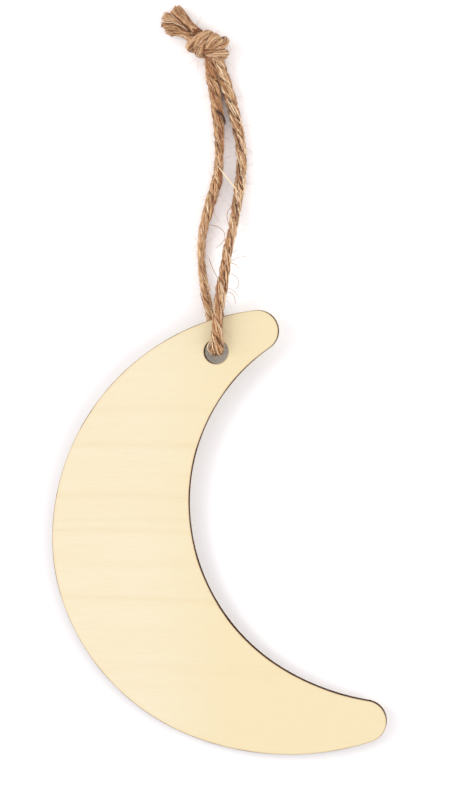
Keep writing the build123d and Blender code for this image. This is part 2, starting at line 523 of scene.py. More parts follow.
@dataclass(frozen=True)
class VeneerFinish:
    """Bare, sanded, pale veneer with long faint grain, scorched at its cut edge."""

    name: str
    grain: Grain
    pale: Colour = tint(217, 207, 180)
    warm: Colour = tint(216, 204, 174)
    deep: Colour = tint(215, 202, 166)
    line: Colour = tint(206, 185, 140)
    pore: Colour = tint(200, 168, 116)
    scorch: Colour = tint(74, 40, 26)
    smoke: Colour = tint(222, 193, 146)
    # Height of each growth line, its half width and how clearly it shows
    growth_lines: tuple[tuple[float, float, float], ...] = (
        (-31.0, 1.6, 0.12),
        (-15.2, 0.9, 0.36),
        (-6.5, 1.2, 0.12),
        (-0.6, 0.8, 0.3),
        (1.6, 1.0, 0.24),
        (7.8, 1.3, 0.28),
        (20.0, 0.9, 0.36),
        (28.0, 1.2, 0.18),
    )
    # Half the height that the growth lines are spread over, and how far they waver
    reach: float = 60.0
    waver: float = 5.0
    # Noises that follow the grain, and two that do not
    figure: Noise = Noise((0.02, 0.3, 0.3), 4.0, 0.55)
    fibre: Noise = Noise((0.18, 5.0, 5.0), 4.0, 0.6)
    pores: Noise = Noise((0.5, 9.0, 9.0), 2.0)
    wavering: Noise = Noise((0.012, 0.05, 0.05), 2.0)
    clouds: Noise = Noise((0.035, 0.03, 0.03), 2.0)
    edge: Noise = Noise((0.14, 0.14, 0.14), 3.0)
    # How warm the figure and the clouds make the wood, and where it deepens from left to right
    figure_warmth: Span = (0.3, 0.7, 0.0, 1.0)
    cloud_warmth: Span = (0.35, 0.7, 0.0, 0.35)
    deepening: Span = (-16.0, 2.0, 0.0, 1.0)
    # How much of the growth lines, fibres, pores, smoke and scorch shows
    growth_cover: Span = (0.25, 0.75, 0.5, 1.0)
    fibre_cover: Span = (0.45, 0.75, 0.0, 0.22)
    pore_cover: Span = (0.66, 0.74, 0.0, 0.3)
    smoke_cover: Span = (0.3, 0.7, 0.3, 1.0)
    scorch_cover: Span = (0.42, 0.66, 0.5, 1.0)
    # Heights of fibres and pores in the relief, and its depth and strength
    fibre_height: float = 0.7
    pore_height: float = -0.4
    relief: Range = (0.05, 0.35)
    roughness: Span = (0.2, 0.8, 0.58, 0.74)
    shine: float = 0.35

    def material(self) -> bpy.types.Material:
        """The finish as a material.

        Returns:
            The new material.
        """
        pen = NodePen(self.name)
        spot = pen.node("ShaderNodeSeparateXYZ", {0: pen.place(1.0, 1.0, 1.0)})
        height = spot.outputs["Y" if self.grain is Grain.ACROSS else "X"]
        figure = self.figure.turned(self.grain).draw(pen)
        fibre = self.fibre.turned(self.grain).draw(pen)
        pores = self.pores.turned(self.grain).draw(pen)
        body = pen.mix(pen.span(figure, *self.figure_warmth), self.pale, self.warm)
        body = pen.mix(pen.span(self.clouds.draw(pen), *self.cloud_warmth), body, self.warm)
        body = pen.mix(pen.span(spot.outputs["X"], *self.deepening), body, self.deep)
        growth = pen.math("MULTIPLY", self._growth(pen, height), pen.span(fibre, *self.growth_cover))
        body = pen.mix(growth, body, self.line)
        body = pen.mix(pen.span(fibre, *self.fibre_cover), body, self.line)
        body = pen.mix(pen.span(pores, *self.pore_cover), body, self.pore)
        raised = pen.math("MULTIPLY", fibre, self.fibre_height)
        sunk = pen.math("MULTIPLY", pores, self.pore_height)
        return pen.finish(
            Base_Color=self._scorched(pen, body),
            Roughness=pen.span(fibre, *self.roughness),
            Specular_IOR_Level=self.shine,
            Normal=pen.bump(pen.math("ADD", raised, sunk), *self.relief),
        )

    def _growth(self, pen: NodePen, height: Socket) -> Socket:
        """The growth lines, which waver along the grain.

        Args:
            pen: The material's pen.
            height: Millimetres over the grain.

        Returns:
            How clearly a line shows, from 0 to 1.
        """
        drift = self.wavering.turned(self.grain).draw(pen)
        waved = pen.math("ADD", height, pen.span(drift, 0.0, 1.0, -self.waver, self.waver))
        stops = [(0.0, tint(0, 0, 0))]
        for middle, half, strength in self.growth_lines:
            for offset, level in ((-half, 0.0), (0.0, strength), (half, 0.0)):
                position = (middle + offset + self.reach) / (2 * self.reach)
                stops.append((position, (level, level, level, 1.0)))
        return pen.ramp(pen.span(waved, -self.reach, self.reach, 0.0, 1.0), stops)

    def _scorched(self, pen: NodePen, body: Socket) -> Socket:
        """The wood's colour with smoke and scorch at its cut edge.

        Args:
            pen: The material's pen.
            body: The colour of the clean wood.

        Returns:
            The colour of the whole surface.
        """
        edge = self.edge.draw(pen)
        haze = pen.math("MULTIPLY", pen.value("haze"), pen.span(edge, *self.smoke_cover))
        burn = pen.math("MULTIPLY", pen.value("scorch"), pen.span(edge, *self.scorch_cover))
        return pen.mix(burn, pen.mix(haze, body, self.smoke), self.scorch)


@dataclass(frozen=True)
class CutEdgeFinish:
    """The scorched wall of a laser cut: upright striations, soot, and lighter bands along the fibres."""

    name: str
    soot: Colour = tint(36, 15, 9)
    burnt: Colour = tint(62, 30, 19)
    toasted: Colour = tint(108, 63, 42)
    stripes: Noise = Noise((3.2, 3.2, 0.25), 3.0, 0.6)
    patches: Noise = Noise((0.3, 0.3, 0.8), 3.0)
    layers: Noise = Noise((0.12, 0.12, 7.0), 2.0)
    # Where soot, burnt and toasted wood lie along the noise of the stripes
    stripe_stops: tuple[float, float, float] = (0.3, 0.55, 0.8)
    soot_cover: Span = (0.35, 0.7, 0.0, 0.7)
    # How much lighter the bands are where the fibres run along the wall
    band_cover: Span = (0.4, 0.7, 0.0, 0.5)
    # Height of the bands in the relief, against the stripes', and its depth and strength
    band_height: float = 0.5
    relief: Range = (0.06, 0.6)
    roughness: Span = (0.3, 0.7, 0.75, 0.95)
    shine: float = 0.03

    def material(self) -> bpy.types.Material:
        """The finish as a material.

        Returns:
            The new material.
        """
        pen = NodePen(self.name)
        stripes = self.stripes.draw(pen)
        layers = self.layers.draw(pen)
        colours = (self.soot, self.burnt, self.toasted)
        body = pen.ramp(stripes, list(zip(self.stripe_stops, colours)))
        body = pen.mix(pen.span(self.patches.draw(pen), *self.soot_cover), body, self.soot)
        bands = pen.math("MULTIPLY", pen.value("side_grain"), pen.span(layers, *self.band_cover))
        raised = pen.math("MULTIPLY", layers, self.band_height)
        return pen.finish(
            Base_Color=pen.mix(bands, body, self.toasted),
            Roughness=pen.span(stripes, *self.roughness),
            Specular_IOR_Level=self.shine,
            Normal=pen.bump(pen.math("ADD", stripes, raised), *self.relief),
        )


@dataclass(frozen=True)
class JuteFinish:
    """Unbleached jute: straw to rust-brown fibres with a dry, slightly silky surface."""

    name: str
    # Colours from the darkest, which the painted shade of the grooves and of the ply cores reaches, to the
    # palest fibres, with the tone of each
    colours: tuple[tuple[float, Colour], ...] = (
        (0.0, tint(60, 33, 15)),
        (0.28, tint(136, 87, 50)),
        (0.52, tint(186, 139, 94)),
        (0.74, tint(213, 175, 131)),
        (1.0, tint(237, 214, 179)),
    )
    rust: Colour = tint(148, 76, 37)
    # How far a wholly rusty fibre takes on the rust's colour
    rust_cover: float = 0.75
    flecks: Noise = Noise((2.2, 2.2, 2.2), 3.0)
    grain: Noise = Noise((9.0, 9.0, 9.0), 2.0)
    fleck_tone: Span = (0.2, 0.8, -0.1, 0.1)
    # Depth and strength of the grain's relief
    relief: Range = (0.03, 0.4)
    roughness: Span = (0.2, 0.8, 0.55, 0.75)
    shine: float = 0.35
    sheen: float = 0.15
    sheen_roughness: float = 0.5

    def material(self) -> bpy.types.Material:
        """The finish as a material.

        Returns:
            The new material.
        """
        pen = NodePen(self.name)
        flecks = self.flecks.draw(pen)
        tone = pen.math("ADD", pen.value("tone"), pen.span(flecks, *self.fleck_tone))
        rusty = pen.math("MULTIPLY", pen.value("rust"), self.rust_cover)
        return pen.finish(
            Base_Color=pen.mix(rusty, pen.ramp(tone, list(self.colours)), self.rust),
            Roughness=pen.span(flecks, *self.roughness),
            Specular_IOR_Level=self.shine,
            Sheen_Weight=self.sheen,
            Sheen_Roughness=self.sheen_roughness,
            Normal=pen.bump(self.grain.draw(pen), *self.relief),
        )


@dataclass(frozen=True)
class FloorFinish:
    """A matt white studio floor with a faint glow of its own."""

    name: str
    white: Colour = tint(248, 248, 248)
    shade: Colour = tint(246, 246, 247)
    mottle: Noise = Noise((0.02, 0.02, 0.02), 3.0)
    roughness: float = 0.9
    shine: float = 0.1
    glow: float = 0.035

    def material(self) -> bpy.types.Material:
        """The finish as a material.

        Returns:
            The new material.
        """
        pen = NodePen(self.name)
        return pen.finish(
            Base_Color=pen.mix(self.mottle.draw(pen), self.white, self.shade),
            Roughness=self.roughness,
            Specular_IOR_Level=self.shine,
            Emission_Color=self.white,
            Emission_Strength=self.glow,
        )


@dataclass(frozen=True)
class Panel:
    """A square soft light turned towards the ornament: its place, its side, and its power in watts."""

    name: str
    place: Place
    side: float
    power: float

    def build(self) -> None:
        """Sets up the light."""
        data = bpy.data.lights.new(self.name, "AREA")
        data.size = self.side * MM
        data.energy = self.power
        lamp = scene_object(self.name, data)
        lamp.location = Vector(self.place) * MM
        lamp.rotation_mode = "QUATERNION"
        lamp.rotation_quaternion = (-lamp.location).to_track_quat("-Z", "Y")


@dataclass
class Studio:
    """Camera, floor and soft lights."""

    # The camera stands almost straight above, a little to the right of the ornament
    camera_place: Place = (57.0, 29.0, 804.0)
    camera_aim: Place = (2.095, 29.763, 4.0)
    lens: float = 160.38
    # Nearest and farthest that the camera sees
    sight: Range = (10.0, 20000.0)
    floor_side: float = 4000.0
    # The room is white at its sides, and dimmer and warmer overhead
    room_sides: Colour = (1.0, 1.04, 1.06, 1.0)
    room_overhead: Colour = (0.9, 0.76, 0.75, 1.0)
    # How upright a direction is, from 0 to 1, where the sides end and where the overhead part begins
    sides_end: float = 0.72
    overhead_begins: float = 0.86
    room_strength: float = 1.0
    panels: tuple[Panel, ...] = (
        Panel("panel_left", (-850.0, 160.0, 480.0), 700.0, 6.0),
        Panel("panel_right", (850.0, -60.0, 480.0), 700.0, 4.2),
    )

    def build(self) -> None:
        """Sets up the whole studio."""
        self._camera()
        self._floor()
        self._room()
        for panel in self.panels:
            panel.build()
        bpy.context.scene.view_settings.view_transform = "Standard"

    def _camera(self) -> None:
        """The camera at the photograph's viewing angle."""
        data = bpy.data.cameras.new("camera")
        data.lens = self.lens
        data.clip_start, data.clip_end = (distance * MM for distance in self.sight)
        camera = scene_object("camera", data)
        place = Vector(self.camera_place) * MM
        back = (place - Vector(self.camera_aim) * MM).normalized()
        right = Vector((0, 1, 0)).cross(back).normalized()
        axes = Matrix((right, back.cross(right), back)).transposed()
        camera.matrix_world = Matrix.LocRotScale(place, axes.to_quaternion(), None)
        bpy.context.scene.camera = camera

    def _floor(self) -> None:
        """A wide, flat, pale floor."""
        half = self.floor_side / 2 * MM
        corners = [(-half, -half, 0), (half, -half, 0), (half, half, 0), (-half, half, 0)]
        mesh = bpy.data.meshes.new("floor")
        mesh.from_pydata(corners, [], [(0, 1, 2, 3)])
        mesh.materials.append(FloorFinish("floor_white").material())
        scene_object("floor", mesh)

    def _room(self) -> None:
        """The room's own light, which changes with how upright its direction is."""
        world = bpy.data.worlds.new("pale_room")
        world.use_nodes = True
        tree = world.node_tree
        direction = tree.nodes.new("ShaderNodeTexCoord")
        parts = tree.nodes.new("ShaderNodeSeparateXYZ")
        ramp = tree.nodes.new("ShaderNodeValToRGB")
        sides, overhead = ramp.color_ramp.elements
        sides.position = self.sides_end
        sides.color = self.room_sides
        overhead.position = self.overhead_begins
        overhead.color = self.room_overhead
        room = tree.nodes["Background"]
        room.inputs["Strength"].default_value = self.room_strength
        tree.links.new(direction.outputs["Generated"], parts.inputs["Vector"])
        tree.links.new(parts.outputs["Z"], ramp.inputs["Fac"])
        tree.links.new(ramp.outputs["Color"], room.inputs["Color"])
        bpy.context.scene.world = world


@dataclass(frozen=True)
class BlankSeat:
    """How the blank lies: the middle of its hole, half-way through, and the turn that leans it."""

    middle: np.ndarray
    lean: Quaternion

    @classmethod
    def from_joint(cls, joint: dict) -> BlankSeat:
        """The seat that the swing joint's axis through the hole gives.

        Args:
            joint: The joint's place and axis in the frame.

        Returns:
            The seat.
        """
        middle = np.array(joint["pos_m"]) / MM
        lean = Vector((0, 0, 1)).rotation_difference(Vector(joint["axis"]))
        return cls(middle, lean)

    def stand(self, points: np.ndarray) -> np.ndarray:
        """Points of the flat blank's space, measured from the hole's middle, where they lie in the frame."""
        return points @ np.array(self.lean.to_matrix()).T + self.middle

    def flatten(self, points: np.ndarray) -> np.ndarray:
        """Points of the frame in the flat blank's space, measured from the hole's middle."""
        return (points - self.middle) @ np.array(self.lean.to_matrix())


@dataclass(frozen=True)
class Ply:
    """One layer of the blank."""

    node: str
    piece: str
    slot: Slot
    grain: Grain
    low: float
    high: float
    shows_below: bool = False
    shows_above: bool = False


@dataclass
class CrescentBlank:
    """The plywood blank, rebuilt ply by ply from its solids' outline with worked edges."""

    seat: BlankSeat
    thickness: float = BLANK_THICKNESS
    veneer: float = 0.6
    outline_step: float = 0.17
    arris: float = 0.1
    arris_steps: int = 3
    arris_scorch: float = 1.0
    arris_haze: float = 1.0
    glue_groove: float = 0.025
    striation: Drift = Drift(0.014, 0.9)
    # Length at each end of an outline loop over which the striations fade out
    striation_fade: float = 2.0
    # Distances in from the cut edge where rings of the face lie, with their scorch and haze
    rim: tuple[tuple[float, float, float], ...] = (
        (0.12, 0.3, 0.7),
        (0.18, 0.06, 0.4),
        (0.5, 0.0, 0.1),
        (1.2, 0.0, 0.0),
    )
    cell: float = 2.4
    seed: int = 41

    def plies(self) -> list[Ply]:
        """The three layers, from the back up, with heights from the hole's middle."""
        half = self.thickness / 2
        inner = half - self.veneer
        return [
            Ply("back_ply", "back_veneer", Slot.VENEER, Grain.ACROSS, -half, -inner, shows_below=True),
            Ply("core_ply", "ply_core", Slot.CORE, Grain.UP, -inner, inner),
            Ply("face_ply", "face_veneer", Slot.VENEER, Grain.ACROSS, inner, half, shows_above=True),
        ]

    def build(self) -> None:
        """Builds, dresses and seats every ply."""
        loops = [self._closed_line(loop) for loop in self._outlines(frame["nodes"]["face_ply"].data)]
        edges = [self._striated(loop, number) for number, loop in enumerate(loops)]
        for ply in self.plies():
            piece = self._ply_object(ply, edges)
            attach(piece, Body.BLANK.value)
            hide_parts(ply.node)
            log.info("%s: %d faces", piece.name, len(piece.data.polygons))

    def _outlines(self, mesh: bpy.types.Mesh) -> list[np.ndarray]:
        """The edge loops of a solid's upper face, with the wood on their left, longest first.

        Args:
            mesh: The solid's mesh.

        Returns:
            Points of each loop in the flat blank's plane.
        """
        flat = self.seat.flatten(np.array([vertex.co for vertex in mesh.vertices]) / MM)
        same_digits = 4
        spots = [tuple(spot) for spot in np.round(flat[:, :2], same_digits).tolist()]
        up = self.seat.lean @ Vector((0, 0, 1))
        least_upward = 0.9
        sides = set()
        for polygon in mesh.polygons:
            if polygon.normal.dot(up) > least_upward:
                ring = [spots[index] for index in polygon.vertices]
                sides.update(zip(ring, ring[1:] + ring[:1]))
        following = {start: end for start, end in sides if (end, start) not in sides}
        loops = []
        while following:
            first = min(following)
            loop = [first]
            while following[loop[-1]] != first:
                loop.append(following.pop(loop[-1]))
            following.pop(loop[-1])
            loops.append(np.array(loop))
        return sorted(loops, key=len, reverse=True)

    def _closed_line(self, loop: np.ndarray) -> np.ndarray:
        """A closed loop again, in even steps on a smooth curve through its points.

        Args:
            loop: Points of the loop.

        Returns:
            The new points.
        """
        gaps = np.linalg.norm(np.roll(loop, -1, axis=0) - loop, axis=1)
        run = np.concatenate([[0.0], np.cumsum(gaps)])
        marks = np.linspace(0.0, run[-1], round(run[-1] / self.outline_step), endpoint=False)
        cell = np.clip(np.searchsorted(run, marks, side="right") - 1, 0, len(loop) - 1)
        share = ((marks - run[cell]) / gaps[cell])[:, None]
        before, start, end, after = (loop[(cell + step) % len(loop)] for step in (-1, 0, 1, 2))
        bend = 2 * before - 5 * start + 4 * end - after
        swing = 3 * start - before - 3 * end + after
        return start + 0.5 * ((end - before) * share + bend * share**2 + swing * share**3)

    def _striated(self, loop: np.ndarray, number: int) -> tuple[np.ndarray, np.ndarray]:
        """A loop roughened by the laser's fine upright striations.

        Args:
            loop: Points of the loop, outline_step apart.
            number: The loop's number.

        Returns:
            The moved points and the directions out of the wood there.
        """
        ahead = unit(np.roll(loop, -1, axis=0) - np.roll(loop, 1, axis=0))
        outward = np.stack([ahead[:, 1], -ahead[:, 0]], axis=1)
        rng = np.random.default_rng(self.seed + number)
        marks = np.arange(len(loop)) * self.outline_step
        fade = np.minimum(1.0, np.minimum(marks, marks[-1] - marks) / self.striation_fade)
        ripple = self.striation.draw(rng, marks)[0] * fade
        return loop + outward * ripple[:, None], outward

    def _profile(self, ply: Ply) -> list[tuple[float, float]]:
        """Rows of a ply's wall, with rounded arrises where it shows and grooves where it meets another.

        Args:
            ply: The layer.

        Returns:
            Height and inset of each row, from the lower face to the upper.
        """
        quarter = [math.pi / 2 * step / self.arris_steps for step in range(self.arris_steps + 1)]
        rounded = [(self.arris * (1 - math.sin(a)), self.arris * (1 - math.cos(a))) for a in quarter]
        grooved = [(2 * self.glue_groove, 0.0), (0.0, self.glue_groove)]
        below = rounded if ply.shows_below else grooved
        above = rounded if ply.shows_above else grooved
        rows = [(ply.low + rise, inset) for rise, inset in reversed(below)]
        rows.append(((ply.low + ply.high) / 2, 0.0))
        rows += [(ply.high - rise, inset) for rise, inset in above]
        return rows

    def _ply_object(self, ply: Ply, edges: list[tuple[np.ndarray, np.ndarray]]) -> bpy.types.Object:
        """One ply as a closed mesh with its finishes.

        Args:
            ply: The layer to make.
            edges: Each outline loop with its outward directions.

        Returns:
            The new object.
        """
        sheet = PlySheet(np.array(ply.grain.value))
        profile = self._profile(ply)
        lower_rim = self.rim if ply.shows_below else ()
        upper_rim = self.rim if ply.shows_above else ()
        lower_rings = []
        upper_rings = []
        for loop, outward in edges:
            burnt = (self.arris_scorch, self.arris_haze)
            rows = [sheet.ring(loop, outward, inset, height, *burnt) for height, inset in profile]
            for number, (low, high) in enumerate(zip(rows, rows[1:])):
                in_lower_arris = ply.shows_below and number < self.arris_steps
                in_upper_arris = ply.shows_above and number >= len(rows) - 1 - self.arris_steps
                sheet.band(low, high, wall=not (in_lower_arris or in_upper_arris))
            for inset, scorch, haze in lower_rim:
                rows.insert(0, sheet.ring(loop, outward, inset, ply.low, scorch, haze))
                sheet.band(rows[0], rows[1], wall=False)
            for inset, scorch, haze in upper_rim:
                rows.append(sheet.ring(loop, outward, inset, ply.high, scorch, haze))
                sheet.band(rows[-2], rows[-1], wall=False)
            lower_rings.append(rows[0])
            upper_rings.append(rows[-1])
        sheet.fill(lower_rings, ply.low, self.cell, upward=False)
        sheet.fill(upper_rings, ply.high, self.cell, upward=True)
        faces = VeneerFinish(f"{ply.piece}_wood", ply.grain).material()
        walls = CutEdgeFinish(f"{ply.piece}_cut").material()
        return sheet.to_object(ply.piece, self.seat, [faces, walls])


@dataclass
class PlySheet:
    """Points and faces of one ply, in the flat blank's space."""

    grain: np.ndarray
    points: list[list[float]] = field(default_factory=list)
    faces: list[list[int]] = field(default_factory=list)
    walls: list[bool] = field(default_factory=list)
    scorch: list[float] = field(default_factory=list)
    haze: list[float] = field(default_factory=list)
    side_grain: list[float] = field(default_factory=list)

    def ring(
        self, loop: np.ndarray, outward: np.ndarray, inset: float, height: float, scorch: float, haze: float
    ) -> list[int]:
        """Adds the points of one ring round an outline loop.

        Args:
            loop: The outline.
            outward: Directions out of the wood.
            inset: How far inside the outline the ring lies.
            height: Its height.
            scorch: How burnt it is.
            haze: How smoky it is.

        Returns:
            The new points' numbers.
        """
        first = len(self.points)
        flat = loop - outward * inset
        self.points += np.column_stack([flat, np.full(len(loop), height)]).tolist()
        self.scorch += [scorch] * len(loop)
        self.haze += [haze] * len(loop)
        self.side_grain += (1.0 - np.abs(outward @ self.grain)).tolist()
        return list(range(first, len(self.points)))

    def band(self, low: list[int], high: list[int], wall: bool) -> None:
        """Joins two rings with a band of faces.

        Args:
            low: Numbers of the lower ring's points.
            high: Numbers of the upper ring's points.
            wall: Whether the band is cut wall, and not face.
        """
        for index, start in enumerate(low):
            onward = (index + 1) % len(low)
            self.faces.append([start, low[onward], high[onward], high[index]])
            self.walls.append(wall)

    def fill(self, rings: list[list[int]], height: float, cell: float, upward: bool) -> None:
        """Covers the space inside the rings.

        Args:
            rings: Numbers of the bounding points, ring by ring.
            height: Height of the face.
            cell: Distance between the points inside.
            upward: Whether the face looks up.
        """
        numbers = [number for ring in rings for number in ring]
        border = np.array([self.points[number][:2] for number in numbers])
        sides = []
        first = 0
        for ring in rings:
            turn = list(range(first, first + len(ring)))
            sides += zip(turn, turn[1:] + turn[:1])
            first += len(ring)
        inner = self._grid(border, cell)
        spots = [Vector(spot) for spot in np.concatenate([border, inner]).tolist()]
        inside_with_holes = 2
        nearest = 1e-6
        made, _, triangles, sources, _, _ = delaunay_2d_cdt(spots, sides, [], inside_with_holes, nearest)
        known = [numbers[ids[0]] if ids and ids[0] < len(numbers) else None for ids in sources]
        for triangle in triangles:
            middle = sum((made[index] for index in triangle), Vector((0.0, 0.0))) / len(triangle)
            if any(self._encloses(ring, middle) for ring in rings[1:]):
                continue
            for index in triangle:
                if known[index] is None:
                    known[index] = self._inner_point(made[index], height)
            face = [known[index] for index in triangle]
            self.faces.append(face if upward else face[::-1])
            self.walls.append(False)

    def _encloses(self, ring: list[int], spot: Vector) -> bool:
        """Whether a ring of points goes round a spot.

        Args:
            ring: Numbers of the ring's points.
            spot: The spot in the blank's plane.

        Returns:
            True where it does.
        """
        corners = np.array([self.points[number][:2] for number in ring]) - np.array(spot)
        bearing = np.unwrap(np.arctan2(corners[:, 1], corners[:, 0]))
        return abs(bearing[-1] - bearing[0]) > math.pi

    def _grid(self, border: np.ndarray, cell: float) -> np.ndarray:
        """Points in staggered rows, none nearer to the border than half a cell.

        Args:
            border: Points of the border.
            cell: Distance between the points.

        Returns:
            The points.
        """
        low = border.min(axis=0)
        high = border.max(axis=0)
        rows = np.arange(low[1], high[1], cell * math.sqrt(0.75))
        spots = []
        for number, row in enumerate(rows):
            across = np.arange(low[0] + cell / 2 * (number % 2), high[0], cell)
            spots.append(np.column_stack([across, np.full(len(across), row)]))
        grid = np.concatenate(spots)
        away = np.array([np.min(np.linalg.norm(border - spot, axis=1)) for spot in grid])
        return grid[away > cell / 2]

    def _inner_point(self, spot: Vector, height: float) -> int:
        """Adds a clean point inside a face.

        Args:
            spot: Its place in the blank's plane.
            height: Its height.

        Returns:
            The new point's number.
        """
        self.points.append([spot[0], spot[1], height])
        self.scorch.append(0.0)
        self.haze.append(0.0)
        self.side_grain.append(0.0)
        return len(self.points) - 1

    def to_object(self, name: str, seat: BlankSeat, finishes: list[bpy.types.Material]) -> bpy.types.Object:
        """The sheet as an object where the blank lies.

        Args:
            name: Name of the piece.
            seat: How the blank lies.
            finishes: Materials of the faces and of the walls.

        Returns:
            The new object.
        """
        values = {"scorch": self.scorch, "haze": self.haze, "side_grain": self.side_grain}
        stored = {key: np.array(numbers) for key, numbers in values.items()}
        points = seat.stand(np.array(self.points))
        made = smooth_piece(name, points, self.faces, finishes, stored)
        made.data.polygons.foreach_set("material_index", [int(wall) for wall in self.walls])
        return made


@dataclass(frozen=True)
class FibreLook:
    """How one kind of fibre varies: least and most half width, and middle and spread of tone and rust."""

    half_width: Range
    tone: Range
    rust: Range

    def rusts(self, rng: np.random.Generator, shape: tuple[int, ...]) -> np.ndarray:
        """Draws how rusty fibres are, from 0 to 1."""
        return np.clip(rng.normal(*self.rust, shape), 0.0, 1.0)


@dataclass(frozen=True)
class Twine:
    """Two-ply jute twine: its size, its lay, and how its plies and fibres vary."""

    diameter: float = 2.1
    plies: int = 2
    ply_pitch: float = 7.9
    fibre_pitch: float = 8.4
    # Half sizes of a ply's section, out from the strand's middle and across, and how far out its middle is
    ply_offset: float = 0.45
    ply_depth: float = 0.54
    ply_width: float = 0.84
    step: float = 0.42
    # Turn of the plies at the hole, and the share of their twist that the frayed end loses
    first_turn: float = 0.6
    untwist: float = 0.85
    lay_drift: Drift = Drift(0.12, 23.0)
    girth_drift: Drift = Drift(0.04, 15.0)
    ply_drift: Drift = Drift(0.07, 8.0)
    # The dark core of a ply, painted shade that shows between its fibres: its size against the ply's, the
    # share that the frayed end loses, and its colour
    core_share: float = 0.84
    core_loss: float = 0.5
    core_sides: int = 9
    core_shade_tone: float = 0.12
    core_rust: float = 0.2
    # The fibres round it: how unevenly they are spread, and how far out they lie against the ply's section
    fibres: int = 30
    fibre_sides: int = 4
    fibre_scatter: float = 0.06
    fibre_sway: Drift = Drift(0.25, 11.0)
    proud: float = 0.96
    proud_scatter: float = 0.03
    # How far calm and restless fibres move in and out, and the share of each
    restless: Range = (0.07, 0.2)
    restless_shares: Range = (0.8, 0.2)
    restless_drift: Drift = Drift(1.0, 6.0)
    # Least and most that a fibre's cut end stands past the tail's
    ragged: Range = (-0.5, 0.3)
    fibre_look: FibreLook = FibreLook((0.08, 0.18), (0.58, 0.2), (0.0, 0.4))
    fibre_half_thick: Range = (0.05, 0.09)
    # Share of a fibre's thickness that the frayed end loses
    fibre_loss: float = 0.35
    width_drift: Drift = Drift(0.25, 7.0)
    thick_drift: Drift = Drift(0.2, 6.0)
    tone_drifts: tuple[Drift, ...] = (Drift(0.12, 24.0), Drift(0.07, 3.0))
    rust_drift: Drift = Drift(0.25, 18.0)
    # How much paler the twine is towards the blank, and the heights where that begins to fade and has faded
    paler_below: float = 0.07
    paler_fades: Range = (60.0, 84.0)
    # How much more its fibres differ from each other below the knot, and the heights where that fades
    livelier_below: float = 0.35
    livelier_fades: Range = (92.0, 104.0)
    # Painted shade in the grooves between the plies: how much darker the fibres there are, where that begins,
    # and how much the frayed end loses
    groove_shade: float = 0.42
    groove: Range = (0.45, 0.85)
    groove_shade_loss: float = 0.6
    # Lowest that any fibre's middle lies, and least height of a loose one from the blank's middle
    off_floor: float = 0.08
    off_blank: float = 1.6


@dataclass(frozen=True)
class Tail:
    """The frayed end of a strand: how far it opens, and the loose fibres that fill it."""

    length: float
    # Length at its end that is open all the way, and how much wider and thicker it is there
    even: float
    widen: float
    thicken: float
    loose_fibres: int
    # How much shorter the fibres on its lower side are
    slant: float


